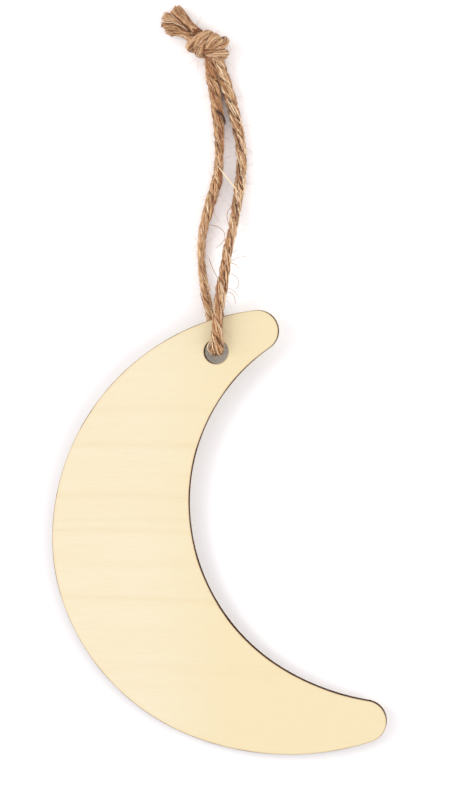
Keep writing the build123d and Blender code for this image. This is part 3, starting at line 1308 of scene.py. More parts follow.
@dataclass
class Strand:
    """One half of the twine, from the middle of the hole to its frayed end."""

    name: str
    route: list[Place]
    tail: Tail
    twine: Twine
    # Heights up the ornament, and the strand's thickness there against the twine's usual one
    girths: tuple[tuple[float, float], ...]
    seed: int
    # Length from the hole that has no hairs
    bald: float = 5.0
    # Whether it lies over the blank, 1, or under it, -1, and the stretch from the hole that does
    blank_side: int = 1
    beside_blank: Range = (3.6, 14.0)
    # The points of its line, with distances, directions, openness, turn of the plies and thickness at each
    line: np.ndarray = field(init=False)
    marks: np.ndarray = field(init=False)
    heading: np.ndarray = field(init=False)
    side: np.ndarray = field(init=False)
    over: np.ndarray = field(init=False)
    opened: np.ndarray = field(init=False)
    tip: np.ndarray = field(init=False)
    tail_side: np.ndarray = field(init=False)
    tail_over: np.ndarray = field(init=False)
    turn: np.ndarray = field(init=False)
    stout: np.ndarray = field(init=False)

    def __post_init__(self) -> None:
        """Reads the strand's line from the spline of its route."""
        self.line = spline_points(f"{self.name}_route", self.route, self.twine.step)

    def settle(self) -> None:
        """Works out directions, distances and how far each point has opened into the tail."""
        self.line = evenly_spaced(self.line, self.twine.step)
        self.marks = run_lengths(self.line)
        self.heading, self.side, self.over = carried_axes(self.line, np.array([1.0, 0.0, 0.0]))
        end = self.marks[-1]
        self.opened = eased(self.marks, end - self.tail.length, end - self.tail.even)
        self.tip = eased(self.marks, end - self.tail.length, end)
        flat = np.cross(self.heading, [0.0, 0.0, 1.0])
        self.tail_side = unit(np.where(self.opened[:, None] > 0, flat, self.side))
        self.tail_over = np.cross(self.tail_side, self.heading)

    def spread(self, first: np.ndarray, second: np.ndarray) -> np.ndarray:
        """Offsets from the line, opened out along the tail.

        Args:
            first: Offsets along the first sideways axis, as lines by points.
            second: Offsets along the second.

        Returns:
            Offset vectors as lines by points by 3.
        """
        return self.spread_at(np.arange(len(self.marks)), first, second)

    def spread_at(self, points: np.ndarray, first: np.ndarray, second: np.ndarray) -> np.ndarray:
        """The same offsets, at some points of the line only.

        Args:
            points: Numbers of the points.
            first: Offsets along the first sideways axis.
            second: Offsets along the second.

        Returns:
            Offset vectors.
        """
        offset = first[..., None] * self.side[points] + second[..., None] * self.over[points]
        tail_side = self.tail_side[points]
        tail_over = self.tail_over[points]
        wide = np.sum(offset * tail_side, axis=-1, keepdims=True) * tail_side
        tall = np.sum(offset * tail_over, axis=-1, keepdims=True) * tail_over
        opened = self.opened[points][:, None]
        return offset + opened * (wide * (self.tail.widen - 1) + tall * (self.tail.thicken - 1))

    def cut_back(self, lines: np.ndarray, ragged: np.ndarray) -> np.ndarray:
        """Moves along the heading that leave the tail's end ragged and slanted.

        Args:
            lines: Points of the fibres, as fibres by points by 3.
            ragged: How much longer each fibre is than the tail.

        Returns:
            Offsets of the same shape.
        """
        beside = (lines[:, -1] - self.line[-1]) @ self.tail_side[-1]
        lower = eased(-beside, 0.0, self.tail.widen * self.twine.diameter / 2)
        longer = ragged[:, 0] - self.tail.slant * lower
        return longer[:, None, None] * (self.heading * self.tip[:, None] ** 3)

    def off_floor(self, lines: np.ndarray) -> np.ndarray:
        """The points of fibres, with none too low."""
        low = np.array([-np.inf, -np.inf, self.twine.off_floor])
        return np.maximum(lines, low)

    def build(self, finish: bpy.types.Material) -> bpy.types.Object:
        """The strand's plies and fibres as one object.

        Args:
            finish: The twine's material.

        Returns:
            The new object.
        """
        rng = np.random.default_rng(self.seed)
        batch = TubeBatch()
        twine = self.twine
        slack = 1.0 - twine.untwist * self.opened
        drift = 1.0 + twine.lay_drift.draw(rng, self.marks)[0]
        lay = np.cumsum(FULL_TURN / twine.ply_pitch * drift * slack * np.gradient(self.marks))
        lay -= lay[0]
        self.turn = twine.first_turn - lay
        heights, girths = zip(*self.girths)
        uneven = 1.0 + twine.girth_drift.draw(rng, self.marks)[0]
        self.stout = np.interp(self.line[:, 1], heights, girths) * uneven
        lowest = (twine.ply_offset + twine.ply_depth) * self.stout
        self.line[:, 2] = np.maximum(self.line[:, 2], lowest)
        for ply in range(twine.plies):
            turn = FULL_TURN * ply / twine.plies + self.turn
            plump = self.stout * (1.0 + twine.ply_drift.draw(rng, self.marks)[0])
            self._add_core(batch, turn, plump)
            self._add_fibres(batch, rng, turn, plump, lay)
        return batch.to_object(self.name, finish)

    def _add_core(self, batch: TubeBatch, turn: np.ndarray, plump: np.ndarray) -> None:
        """Adds the dark core of one ply, painted shade that shows between its fibres.

        Args:
            batch: Where the tube goes.
            turn: The ply's angle about the strand's line at each point.
            plump: The ply's thickness at each point, against the usual one.
        """
        twine = self.twine
        out_a = np.cos(turn)[None]
        out_b = np.sin(turn)[None]
        out = twine.ply_offset * self.stout
        middle = self.line + self.spread(out * out_a, out * out_b)
        core = (twine.core_share * plump * (1.0 - twine.core_loss * self.opened))[None]
        half_width = core * twine.ply_width
        half_thick = core * twine.ply_depth
        shapes = flat_tubes(middle, self.spread(out_a, out_b), half_width, half_thick, twine.core_sides)
        # The core's dark tone is painted shade in the gaps between the fibres
        tone = np.full_like(core, twine.core_shade_tone)
        batch.add(shapes, tone=tone, rust=np.full_like(core, twine.core_rust))

    def _add_fibres(
        self, batch: TubeBatch, rng: np.random.Generator, turn: np.ndarray, plump: np.ndarray, lay: np.ndarray
    ) -> None:
        """Adds the fibres round the core of one ply.

        Args:
            batch: Where the tubes go.
            rng: Source of every variation.
            turn: The ply's angle about the strand's line at each point.
            plump: The ply's thickness at each point, against the usual one.
            lay: How far the plies have turned at each point.
        """
        twine = self.twine
        look = twine.fibre_look
        count = twine.fibres
        each = (count, 1)
        out_a = np.cos(turn)
        out_b = np.sin(turn)
        start = FULL_TURN * np.arange(count)[:, None] / count + rng.normal(0.0, twine.fibre_scatter, each)
        angle = start + lay * twine.ply_pitch / twine.fibre_pitch
        angle = angle + twine.fibre_sway.draw(rng, self.marks, count)
        restless = rng.choice(twine.restless, each, p=twine.restless_shares)
        proud = twine.proud + restless * twine.restless_drift.draw(rng, self.marks, count)
        proud = proud + rng.normal(0.0, twine.proud_scatter, each)
        deep = twine.ply_offset * self.stout + twine.ply_depth * plump * proud * np.cos(angle)
        wide = twine.ply_width * plump * proud * np.sin(angle)
        first = deep * out_a - wide * out_b
        second = deep * out_b + wide * out_a
        lines = self.line + self.spread(first, second)
        lines = self.off_floor(lines + self.cut_back(lines, rng.uniform(*twine.ragged, each)))
        slope_deep = np.cos(angle) / twine.ply_depth
        slope_wide = np.sin(angle) / twine.ply_width
        facing = self.spread(slope_deep * out_a - slope_wide * out_b, slope_deep * out_b + slope_wide * out_a)
        thin = 1.0 - twine.fibre_loss * self.opened
        half_width = rng.uniform(*look.half_width, each)
        half_width = half_width * (1.0 + twine.width_drift.draw(rng, self.marks, count)) * thin
        half_thick = rng.uniform(*twine.fibre_half_thick, each)
        half_thick = half_thick * (1.0 + twine.thick_drift.draw(rng, self.marks, count)) * thin
        tone = self._fibre_tones(rng, np.hypot(first, second) / self.stout)
        rusty = rng.normal(*look.rust, each) + twine.rust_drift.draw(rng, self.marks, count)
        shapes = flat_tubes(lines, facing, half_width, half_thick, twine.fibre_sides)
        batch.add(shapes, tone=tone, rust=np.clip(rusty, 0.0, 1.0))

    def _fibre_tones(self, rng: np.random.Generator, away: np.ndarray) -> np.ndarray:
        """How dark or pale the fibres of a ply are, with painted shade on those that lie deep in the grooves
        between the plies.

        Args:
            rng: Source of every variation.
            away: Distance of each point from the strand's line, as fibres by points.

        Returns:
            Tones of the same shape.
        """
        twine = self.twine
        up = self.line[:, 1]
        middle, spread = twine.fibre_look.tone
        lively = 1.0 + twine.livelier_below * (1.0 - eased(up, *twine.livelier_fades))
        tone = middle + rng.normal(0.0, spread, (twine.fibres, 1)) * lively
        for drift in twine.tone_drifts:
            tone = tone + drift.draw(rng, self.marks, twine.fibres)
        tone = tone + twine.paler_below * (1.0 - eased(up, *twine.paler_fades))
        # Painted shade: fibres deep in the grooves between the plies are made darker
        in_groove_shade = 1.0 - eased(away, *twine.groove)
        return tone - twine.groove_shade * in_groove_shade * (1.0 - twine.groove_shade_loss * self.opened)

    def surface(self, angle: np.ndarray, points: np.ndarray) -> np.ndarray:
        """Distance from the strand's line to its surface.

        Args:
            angle: Angles about the line.
            points: Numbers of the line's points where they are.

        Returns:
            The distances.
        """
        twine = self.twine
        around = angle - self.turn[points]
        deep = np.abs(np.cos(around))
        square = deep**2 / twine.ply_depth**2 + np.sin(around) ** 2 / twine.ply_width**2
        slant = deep * twine.ply_offset / twine.ply_depth**2
        rest = 1.0 - (twine.ply_offset / twine.ply_depth) ** 2
        return (slant + np.sqrt(slant**2 + square * rest)) / square * self.stout[points]

    def keep_off_blank(self, lines: np.ndarray, points: np.ndarray, seat: BlankSeat) -> np.ndarray:
        """Moves what would pass through the blank to its face or its back.

        Args:
            lines: Points of fibres.
            points: Numbers of the strand's points that they belong to.
            seat: How the blank lies.

        Returns:
            The moved points.
        """
        flat = seat.flatten(lines)
        first, last = self.beside_blank
        near = (self.marks[points] > first) & (self.marks[points] < last)
        clear = self.blank_side * np.maximum(self.blank_side * flat[..., 2], self.twine.off_blank)
        flat[..., 2] = np.where(near, clear, flat[..., 2])
        return seat.stand(flat)


@dataclass(frozen=True)
class Wisps:
    """Fine loose fibres that lie along a strand's surface and lift off it at their ends."""

    count: int = 520
    seed_step: int = 70
    # Fewest points of a wisp and one more than the most, and the strand's first points, which have none
    points: tuple[int, int] = (10, 34)
    bare_points: int = 3
    # How far a wisp turns about the strand from its middle to its end
    slew: float = 0.5
    sway: Drift = Drift(0.3, 2.0)
    # Height off the surface, usual height of an end above that, and how suddenly the end lifts
    off_surface: float = 0.02
    end_lift: float = 0.16
    suddenness: int = 6
    # Least distance from the strand's line against its thickness
    least_reach: float = 0.72
    look: FibreLook = FibreLook((0.028, 0.075), (0.62, 0.28), (0.05, 0.45))
    tone_drift: Drift = Drift(0.08, 1.0)
    taper: float = 0.6
    flatness: float = 0.7
    sides: int = 3

    def build(self, strand: Strand, finish: bpy.types.Material, seat: BlankSeat) -> bpy.types.Object:
        """The wisps of a strand as one object.

        Args:
            strand: The strand.
            finish: The twine's material.
            seat: How the blank lies, which the wisps stay off.

        Returns:
            The new object.
        """
        rng = np.random.default_rng(strand.seed + self.seed_step)
        batch = TubeBatch()
        usable = len(strand.marks) - round(strand.tail.even / strand.twine.step)
        for _ in range(self.count):
            span = int(rng.integers(*self.points))
            first = int(rng.integers(self.bare_points, usable - span))
            points = np.arange(first, first + span)
            share = np.linspace(-1.0, 1.0, span)
            angle = rng.uniform(0.0, FULL_TURN) + rng.normal(0.0, self.slew) * share
            angle = angle + self.sway.draw(rng, share)[0]
            ends = np.where(share < 0, rng.gamma(1.0, self.end_lift), rng.gamma(1.0, self.end_lift))
            lift = self.off_surface + np.abs(share) ** self.suddenness * ends
            reach = np.maximum(strand.surface(angle, points), self.least_reach * strand.stout[points]) + lift
            offset = strand.spread_at(points, reach * np.cos(angle), reach * np.sin(angle))
            line = strand.off_floor(strand.keep_off_blank(strand.line[points] + offset, points, seat))
            half = rng.uniform(*self.look.half_width) * (1.0 - self.taper * share**4)
            tone = rng.normal(*self.look.tone) + self.tone_drift.draw(rng, share)[0]
            rusty = np.tile(self.look.rusts(rng, (1, 1)), (1, span))
            shape = flat_tubes(line[None], offset[None], half[None], self.flatness * half[None], self.sides)
            batch.add(shape, tone=tone[None], rust=rusty)
        return batch.to_object(f"{strand.name}_wisps", finish)


@dataclass(frozen=True)
class Fuzz:
    """The short hairs that stand out of a strand."""

    count: int = 300
    seed_step: int = 90
    points: int = 9
    # Least and most that a hair leans along the strand, against how far it stands out
    lean: Range = (0.2, 1.8)
    # Shape and scale of the gamma draw of a hair's length, what is added to it, and the limits
    length_draw: Range = (2.0, 0.45)
    length_added: float = 0.5
    length_limits: Range = (0.6, 3.6)
    curl: float = 0.55
    # How far out a hair begins, against the strand's thickness
    root_reach: float = 0.8
    look: FibreLook = FibreLook((0.02, 0.042), (0.75, 0.14), (0.0, 0.25))
    taper: float = 0.6
    sides: int = 3

    def build(self, strand: Strand, finish: bpy.types.Material, seat: BlankSeat) -> bpy.types.Object:
        """The hairs of a strand as one object.

        Args:
            strand: The strand.
            finish: The twine's material.
            seat: How the blank lies, which the hairs stay off.

        Returns:
            The new object.
        """
        rng = np.random.default_rng(strand.seed + self.seed_step)
        twine = strand.twine
        each = (self.count, 1)
        last = len(strand.marks) - round(strand.tail.length / twine.step)
        root = rng.integers(round(strand.bald / twine.step), last, self.count)
        angle = rng.uniform(0.0, FULL_TURN, each)
        out = np.cos(angle) * strand.side[root] + np.sin(angle) * strand.over[root]
        lean = rng.choice([-1.0, 1.0], each) * rng.uniform(*self.lean, each)
        toward = unit(out + lean * strand.heading[root])
        length = rng.gamma(*self.length_draw, (*each, 1)) + self.length_added
        length = np.clip(length, *self.length_limits)
        share = np.linspace(0.0, 1.0, self.points)[:, None]
        bend = rng.normal(0.0, self.curl, (2, *each, 3))
        start = strand.line[root] + self.root_reach * twine.diameter / 2 * strand.stout[root, None] * out
        lines = start[:, None] + length * (share * toward[:, None] + share**2 * bend[0] + share**3 * bend[1])
        along = (1, self.points)
        lines = strand.keep_off_blank(strand.off_floor(lines), np.tile(root[:, None], along), seat)
        half = rng.uniform(*self.look.half_width, each) * (1.0 - self.taper * share[:, 0])
        tone = np.tile(rng.normal(*self.look.tone, each), along)
        rusty = np.tile(self.look.rusts(rng, each), along)
        facing = np.broadcast_to(out[:, None], lines.shape)
        batch = TubeBatch()
        batch.add(flat_tubes(lines, facing, half, half, self.sides), tone=tone, rust=rusty)
        return batch.to_object(f"{strand.name}_fuzz", finish)


@dataclass(frozen=True)
class Brush:
    """The loose fibres that fill a strand's frayed end."""

    seed_step: int = 50
    # How far before the frayed end they begin
    overlap: float = 1.0
    # How far out they lie, and least square of a fibre's share of that
    radius: float = 0.95
    hollow: float = 0.02
    sway: Drift = Drift(0.3, 6.0)
    # Least and most that a fibre's cut end stands past the tail's
    ragged: Range = (-0.6, 0.35)
    look: FibreLook = FibreLook((0.06, 0.15), (0.55, 0.16), (-0.1, 0.3))
    half_thick: Range = (0.04, 0.07)
    tone_drift: Drift = Drift(0.1, 4.0)

    def build(self, strand: Strand, finish: bpy.types.Material) -> bpy.types.Object:
        """The loose fibres of a strand's end as one object.

        Args:
            strand: The strand.
            finish: The twine's material.

        Returns:
            The new object.
        """
        rng = np.random.default_rng(strand.seed + self.seed_step)
        marks = strand.marks
        count = strand.tail.loose_fibres
        each = (count, 1)
        begin = int(np.argmax(marks > marks[-1] - strand.tail.length - self.overlap))
        radius = self.radius * strand.stout[-1] * np.sqrt(rng.uniform(self.hollow, 1.0, each))
        angle = rng.uniform(0.0, FULL_TURN, each) + self.sway.draw(rng, marks, count)
        out_a = np.cos(angle)
        out_b = np.sin(angle)
        lines = strand.line + strand.spread(radius * out_a, radius * out_b)
        lines = strand.off_floor(lines + strand.cut_back(lines, rng.uniform(*self.ragged, each)))
        whole = np.ones_like(angle)
        half_width = rng.uniform(*self.look.half_width, each) * whole
        half_thick = rng.uniform(*self.half_thick, each) * whole
        tone = rng.normal(*self.look.tone, each) + self.tone_drift.draw(rng, marks, count)
        rusty = self.look.rusts(rng, each) * whole
        facing = strand.spread(out_a, out_b)
        shapes = flat_tubes(lines, facing, half_width, half_thick, strand.twine.fibre_sides)
        batch = TubeBatch()
        batch.add(shapes[:, begin:], tone=tone[:, begin:], rust=rusty[:, begin:])
        return batch.to_object(f"{strand.name}_brush", finish)


@dataclass(frozen=True)
class Stray:
    """A loose fibre, a bit of bark or a dark stroke of painted shade that shows on its own: its points, half
    thickness and colour.
    """

    points: tuple[Place, ...]
    half: float
    tone: float
    rust: float = 0.0
    step: float = 0.25
    taper: float = 0.65
    flatness: float = 0.8
    sides: int = 5
    # Direction across its thickness, tipped so that no stray runs straight along it
    facing: Place = (0.1, 0.1, 1.1)

    def add_to(self, batch: TubeBatch, name: str) -> None:
        """Adds the stray, which thins towards its ends, to a batch.

        Args:
            batch: Where the tube goes.
            name: Name of the spline that it follows.
        """
        line = spline_points(name, list(self.points), self.step)
        share = np.linspace(-1.0, 1.0, len(line))
        half = self.half * (1.0 - self.taper * share[None] ** 4)
        facing = np.tile(self.facing, (1, len(line), 1))
        shape = flat_tubes(line[None], facing, half, self.flatness * half, self.sides)
        batch.add(shape, tone=np.full_like(half, self.tone), rust=np.full_like(half, self.rust))


# Strays of the front strand, from the hole up
FRONT_STRAYS = (
    Stray(
        ((-1.3, 43.6, 6.5), (-2.1, 42.5, 6.1), (-2.5, 41.5, 5.6), (-1.9, 40.3, 5.0), (-0.9, 40.1, 4.6)),
        0.15,
        0.85,
    ),
    Stray(((-1.2, 43.0, 6.5), (-1.8, 41.9, 6.0), (-1.9, 40.9, 5.4), (-1.2, 40.1, 4.9)), 0.13, 0.4, 0.3),
    Stray(((-1.1, 42.6, 6.4), (-1.6, 41.4, 6.0), (-1.2, 40.3, 5.3)), 0.12, 0.65),
    Stray(((0.9, 43.4, 6.7), (1.3, 42.3, 6.2), (1.2, 41.2, 5.7), (0.5, 40.2, 5.2)), 0.13, 0.6, 0.2),
    Stray(((-0.9, 40.6, 5.7), (-1.6, 40.2, 5.5), (-2.2, 39.9, 4.8)), 0.05, 0.8),
    Stray(((0.1, 40.1, 5.7), (0.5, 39.5, 5.2), (1.2, 39.2, 4.8)), 0.05, 0.7),
    Stray(((-0.3, 40.0, 5.5), (-0.5, 39.2, 4.9), (-0.9, 38.7, 4.3)), 0.045, 0.75),
    Stray(((0.6, 40.9, 5.8), (1.3, 40.8, 5.5), (1.8, 41.3, 5.3)), 0.05, 0.8),
    Stray(((0.9, 43.0, 6.6), (1.6, 42.4, 6.2), (2.1, 42.3, 5.7)), 0.04, 0.75),
    Stray(((2.3, 54.0, 7.3), (3.4, 53.8, 7.2), (3.9, 52.3, 6.6), (3.9, 51.4, 6.2)), 0.06, 0.42),
    Stray(((2.4, 54.9, 7.2), (4.1, 54.1, 7.0), (4.5, 52.9, 6.6)), 0.05, 0.45),
    Stray(
        ((2.6, 58.1, 6.4), (3.9, 57.9, 6.4), (4.8, 56.3, 6.1), (4.5, 55.2, 5.6), (3.7, 54.4, 5.4)),
        0.06,
        0.4,
    ),
    Stray(((2.7, 60.5, 5.6), (3.9, 60.3, 5.7), (4.4, 59.7, 5.4), (4.6, 59.1, 4.9)), 0.055, 0.42),
    Stray(((2.7, 60.6, 5.6), (3.6, 61.6, 5.6), (5.0, 61.9, 4.8), (6.2, 62.1, 3.9)), 0.055, 0.42),
    Stray(((2.7, 62.4, 5.0), (3.6, 63.2, 5.2), (4.3, 63.5, 4.9)), 0.05, 0.35),
    Stray(((0.6, 56.0, 7.3), (-0.9, 58.6, 6.8), (-1.7, 60.4, 6.0), (-2.2, 61.9, 5.0)), 0.07, 0.38),
    Stray(((3.2, 73.8, 1.9), (1.9, 72.6, 2.4), (1.7, 70.6, 2.8), (2.4, 68.7, 3.1)), 0.075, 0.45),
    Stray(((4.8, 75.9, 2.3), (2.1, 79.5, 2.6), (-0.4, 82.6, 2.3)), 0.16, 1.0),
    Stray(((2.0, 97.7, 2.3), (2.5, 97.0, 2.6), (3.1, 96.2, 2.3)), 0.15, -0.3),
)

# Strays of the back strand, from the blank's edge up
BACK_STRAYS = (
    Stray(((-3.3, 50.9, 1.9), (-4.1, 52.6, 1.7), (-4.3, 53.9, 1.6)), 0.08, 0.25),
    Stray(
        (
            (-2.6, 69.4, 1.6),
            (-1.2, 69.2, 1.5),
            (0.8, 68.3, 0.9),
            (1.3, 66.6, 0.4),
            (0.6, 65.2, 0.3),
            (-1.0, 64.1, 0.2),
        ),
        0.062,
        0.4,
    ),
    Stray(((-0.7, 88.2, 2.15), (-0.3, 87.0, 2.35), (0.1, 85.6, 2.15)), 0.11, -0.2),
    Stray(((-0.8, 95.0, 2.4), (0.35, 94.4, 2.9), (1.2, 93.3, 2.4), (1.3, 91.9, 1.9)), 0.27, -0.8),
    # These two dark strays lie along the gap between the two tails, as painted shade of that gap
    Stray(((-10.7, 117.0, 2.4), (-8.4, 115.0, 2.8), (-6.2, 112.8, 2.8)), 0.2, 0.06, 0.3),
    Stray(((-9.8, 116.0, 2.4), (-8.2, 114.6, 2.8), (-6.3, 112.5, 2.8)), 0.12, -0.25, 0.1),
    Stray(((-6.1, 112.0, 2.9), (-5.6, 112.9, 4.0), (-4.6, 113.5, 3.7), (-4.3, 113.3, 3.0)), 0.13, -0.15, 0.6),
    Stray(((-6.0, 111.8, 2.9), (-5.5, 112.7, 4.1), (-4.6, 113.3, 3.9), (-4.3, 113.1, 3.1)), 0.11, 0.05, 0.8),
    Stray(((-5.9, 111.6, 2.9), (-5.3, 112.4, 4.1), (-4.5, 113.0, 3.9), (-4.2, 112.8, 3.2)), 0.12, -0.1, 0.7),
)


@dataclass
class Hanger:
    """The twine hanger: two strands from the hole, tied together in an overhand knot."""

    seat: BlankSeat
    twine: Twine = field(default_factory=Twine)
    wisps: Wisps = field(default_factory=Wisps)
    fuzz: Fuzz = field(default_factory=Fuzz)
    brush: Brush = field(default_factory=Brush)
    # How far the twine's middle is from the wood that it lies on
    clearance: float = 1.25
    # Each strand beside the wood, from the middle of the hole in the blank's plane
    front_wood: tuple[Spot, ...] = ((0.3, 0.4), (0.35, 6.55), (1.15, 12.95))
    back_wood: tuple[Spot, ...] = ((-0.05, 0.4), (-1.45, 6.55), (-2.65, 12.95))
    # Each strand from the wood's edge to the knot
    front_leg: tuple[Place, ...] = (
        (1.5, 58.0, 6.7),
        (1.9, 63.0, 5.0),
        (3.0, 67.6, 2.9),
        (3.7, 72.6, 1.5),
        (4.6, 78.2, FLOOR_LEVEL),
        (5.1, 84.2, FLOOR_LEVEL),
        (4.4, 90.0, FLOOR_LEVEL),
        (3.0, 95.6, FLOOR_LEVEL),
        (1.6, 100.6, FLOOR_LEVEL),
    )
    back_leg: tuple[Place, ...] = (
        (-3.9, 58.2, 1.2),
        (-4.3, 63.4, 0.95),
        (-3.7, 68.6, FLOOR_LEVEL),
        (-2.2, 74.0, FLOOR_LEVEL),
        (-0.4, 79.6, FLOOR_LEVEL),
        (0.0, 85.4, FLOOR_LEVEL),
        (-0.1, 91.4, FLOOR_LEVEL),
        (-0.7, 97.0, FLOOR_LEVEL),
        (-1.5, 101.4, FLOOR_LEVEL),
    )
    # Each strand through the knot and along its tail, from the knot's middle on the floor
    front_knot: tuple[Place, ...] = (
        (2.4, -4.9, 1.2),
        (2.5, -2.4, 2.3),
        (3.0, 0.0, 2.9),
        (2.8, 1.5, 3.3),
        (2.2, 1.9, 4.8),
        (0.6, 0.5, 5.6),
        (-1.1, 0.3, 5.0),
        (-2.0, 0.1, 3.2),
        (-0.9, -0.3, 1.1),
        (1.2, -1.2, 0.95),
        (2.5, -1.7, 1.1),
        (3.1, -1.9, 2.4),
        (2.7, -1.9, 4.3),
        (1.6, -1.8, 4.7),
        (0.4, -1.0, 4.0),
        (-1.2, -0.2, 2.9),
        (-3.0, 1.1, 2.4),
        (-4.4, 2.4, 1.8),
        (-6.4, 4.7, 1.55),
        (-10.5, 5.5, 1.35),
    )
    back_knot: tuple[Place, ...] = (
        (0.1, -4.9, 1.2),
        (0.3, -2.6, 2.2),
        (1.0, -0.2, 2.9),
        (0.9, 1.4, 3.2),
        (0.2, 2.3, 4.6),
        (-1.5, 0.9, 5.5),
        (-3.8, -0.2, 4.8),
        (-5.7, -0.5, 2.7),
        (-4.0, -0.4, 1.1),
        (-0.8, -0.2, 0.95),
        (1.8, 0.5, 0.95),
        (3.7, 1.2, 1.3),
        (4.5, 1.5, 3.0),
        (3.7, 1.3, 4.8),
        (2.2, 0.3, 5.0),
        (0.9, -0.3, 4.2),
        (-0.6, 0.8, 3.0),
        (-2.4, 2.6, 2.4),
        (-3.9, 4.1, 1.8),
        (-7.9, 8.4, 1.35),
    )
    # Heights up the ornament, and each strand's thickness there against the twine's usual one
    front_girths: tuple[tuple[float, float], ...] = (
        (40.5, 1.5),
        (44.0, 1.24),
        (50.0, 1.14),
        (54.5, 1.25),
        (58.0, 1.15),
        (63.0, 1.05),
        (67.5, 0.95),
        (72.0, 1.02),
        (77.0, 1.12),
        (84.0, 1.08),
        (92.0, 1.15),
        (98.0, 1.32),
        (103.5, 1.3),
        (106.0, 1.2),
        (109.0, 1.15),
    )
    back_girths: tuple[tuple[float, float], ...] = (
        (44.0, 0.92),
        (54.0, 0.92),
        (58.0, 0.85),
        (62.0, 0.78),
        (66.0, 0.8),
        (70.0, 1.0),
        (75.0, 1.18),
        (79.0, 1.14),
        (83.5, 0.92),
        (88.0, 1.02),
        (94.0, 1.24),
        (98.0, 1.32),
        (103.5, 1.28),
        (106.0, 1.15),
        (109.0, 1.08),
    )
    front_tail: Tail = Tail(length=6.4, even=2.8, widen=2.15, thicken=1.25, loose_fibres=130, slant=1.5)
    back_tail: Tail = Tail(length=6.0, even=1.5, widen=1.5, thicken=1.2, loose_fibres=80, slant=0.5)
    knot_middle: Place = (-2.45, 109.6, 2.5)
    # Distance from the knot's middle within which strands are pressed apart, and where that has faded out
    knot_reach: float = 6.5
    knot_fade: float = 3.5
    # Distance that strands are pressed apart to, and length of one strand that is not pressed from itself
    knot_gap: float = 1.65
    knot_turn: float = 2.9
    knot_rounds: int = 160
    # Share of what is lacking that each round presses and straightens
    knot_share: float = 0.12
    # Lowest that the strands' middles come, against half the twine's thickness
    knot_floor: float = 0.9
    # Where the hanger passes from the bight, before the first of these, to the loop, after the second
    bend_from: Place = (0.0, 52.7, 5.0)
    bend_to: Place = (0.0, 65.0, 5.0)

    def build(self) -> None:
        """Builds both strands and what is on them, with their knot tightened."""
        jute = JuteFinish("jute").material()
        front = Strand(
            "front_strand",
            self._route(1, self.front_wood, self.front_leg, self.front_knot),
            self.front_tail,
            self.twine,
            self.front_girths,
            seed=11,
        )
        back = Strand(
            "back_strand",
            self._route(-1, self.back_wood, self.back_leg, self.back_knot),
            self.back_tail,
            self.twine,
            self.back_girths,
            seed=23,
            bald=12.0,
            blank_side=-1,
            beside_blank=(3.6, 17.0),
        )
        self._tighten(front, back)
        front_nodes = ("twine_bight", "twine_front_leg", "overhand_knot", "front_tail")
        self._dress(front, FRONT_STRAYS, front_nodes, jute)
        self._dress(back, BACK_STRAYS, ("twine_back_leg", "back_tail"), jute)

    def _dress(
        self, strand: Strand, strays: tuple[Stray, ...], nodes: tuple[str, ...], jute: bpy.types.Material
    ) -> None:
        """Builds one strand and what is on it, and hides the solids that it replaces.

        Args:
            strand: The strand, with its knot tightened.
            strays: The loose fibres on it that show on their own.
            nodes: The solids that it replaces.
            jute: The twine's material.
        """
        strand.settle()
        cord = strand.build(jute)
        extras = [
            self.brush.build(strand, jute),
            self.wisps.build(strand, jute, self.seat),
            self.fuzz.build(strand, jute, self.seat),
        ]
        loose = TubeBatch()
        for number, stray in enumerate(strays):
            stray.add_to(loose, f"{strand.name}_stray_{number}")
        extras.append(loose.to_object(f"{strand.name}_strays", jute))
        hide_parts(*nodes)
        for piece in (cord, *extras):
            self._bend(piece)
            log.info("%s: %d faces", piece.name, len(piece.data.polygons))

    def _bend(self, piece: bpy.types.Object) -> None:
        """Bakes a piece's placement into its mesh."""
        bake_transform(piece)

    def _route(
        self, side: int, wood: tuple[Spot, ...], leg: tuple[Place, ...], knot: tuple[Place, ...]
    ) -> list[Place]:
        """Points that control a strand: hole, wood, leg, knot and tail.

        Args:
            side: Whether it lies over the blank, 1, or under it, -1.
            wood: Its points beside the wood, from the middle of the hole.
            leg: Its points from the wood's edge to the knot.
            knot: Its points through the knot and along its tail, from the knot's middle.

        Returns:
            All points, from the middle of the hole to the frayed end.
        """
        begin = np.mean([self.front_wood[0], self.back_wood[0]], axis=0)
        height = side * (BLANK_THICKNESS / 2 + self.clearance)
        flat = [(*begin, 0.0)] + [(*spot, height) for spot in wood]
        across, up, _ = self.knot_middle
        tied = [(across + right, up + ahead, level) for right, ahead, level in knot]
        return [*map(tuple, self.seat.stand(np.array(flat))), *leg, *tied]

    def _tighten(self, first: Strand, second: Strand) -> None:
        """Presses the knot's crossing strands apart until they lie on each other.

        Args:
            first: One strand, whose line is changed.
            second: The other, whose line is changed.
        """
        points = np.concatenate([first.line, second.line])
        owner = np.repeat([0, 1], [len(first.line), len(second.line)])
        away = np.linalg.norm(points - np.array(self.knot_middle), axis=1)
        loose = 1.0 - eased(away, self.knot_reach, self.knot_reach + self.knot_fade)
        active = np.flatnonzero(loose > 0)
        along = np.abs(active[:, None] - active) * self.twine.step
        beside = (owner[active][:, None] == owner[active]) & (along < self.knot_turn)
        low = self.twine.diameter / 2 * self.knot_floor
        for _ in range(self.knot_rounds):
            here = points[active]
            apart = here[:, None] - here
            distance = np.linalg.norm(apart, axis=-1) + np.eye(len(here))
            lack = np.where(beside, 0.0, np.maximum(0.0, self.knot_gap - distance))
            push = self.knot_share * np.sum(apart / distance[..., None] * lack[..., None], axis=1)
            straighten = np.zeros_like(points)
            straighten[1:-1] = self.knot_share * (points[:-2] + points[2:] - 2 * points[1:-1])
            straighten[len(first.line) - 1 : len(first.line) + 1] = 0.0
            points[active] += (push + straighten[active]) * loose[active][:, None]
            points[:, 2] = np.maximum(points[:, 2], np.where(loose > 0, low, points[:, 2]))
        first.line = points[: len(first.line)]
        second.line = points[len(first.line) :]


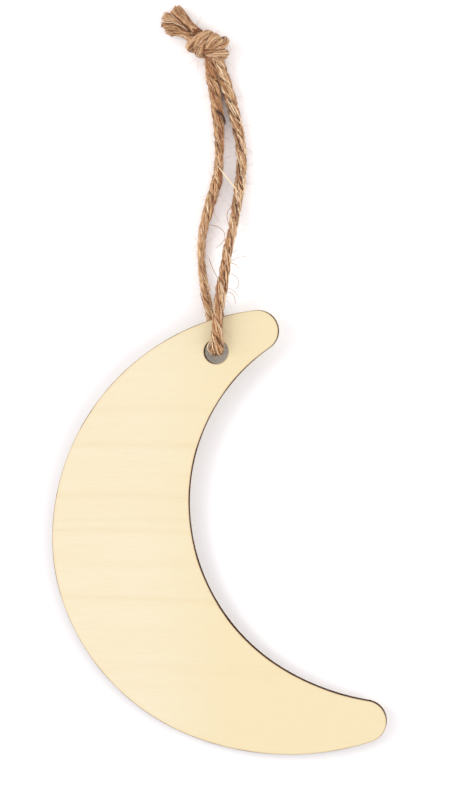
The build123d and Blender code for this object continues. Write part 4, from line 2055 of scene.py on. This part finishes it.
def main() -> None:
    """Builds the studio, the hanger and the blank, in that order."""
    logging.basicConfig(level=logging.INFO, format="%(message)s")
    joints = {joint["name"]: joint for joint in frame["joints"]}
    seat = BlankSeat.from_joint(joints["hanger_swing"])
    Studio().build()
    Hanger(seat).build()
    CrescentBlank(seat).build()


if __name__ == "__main__":
    main()
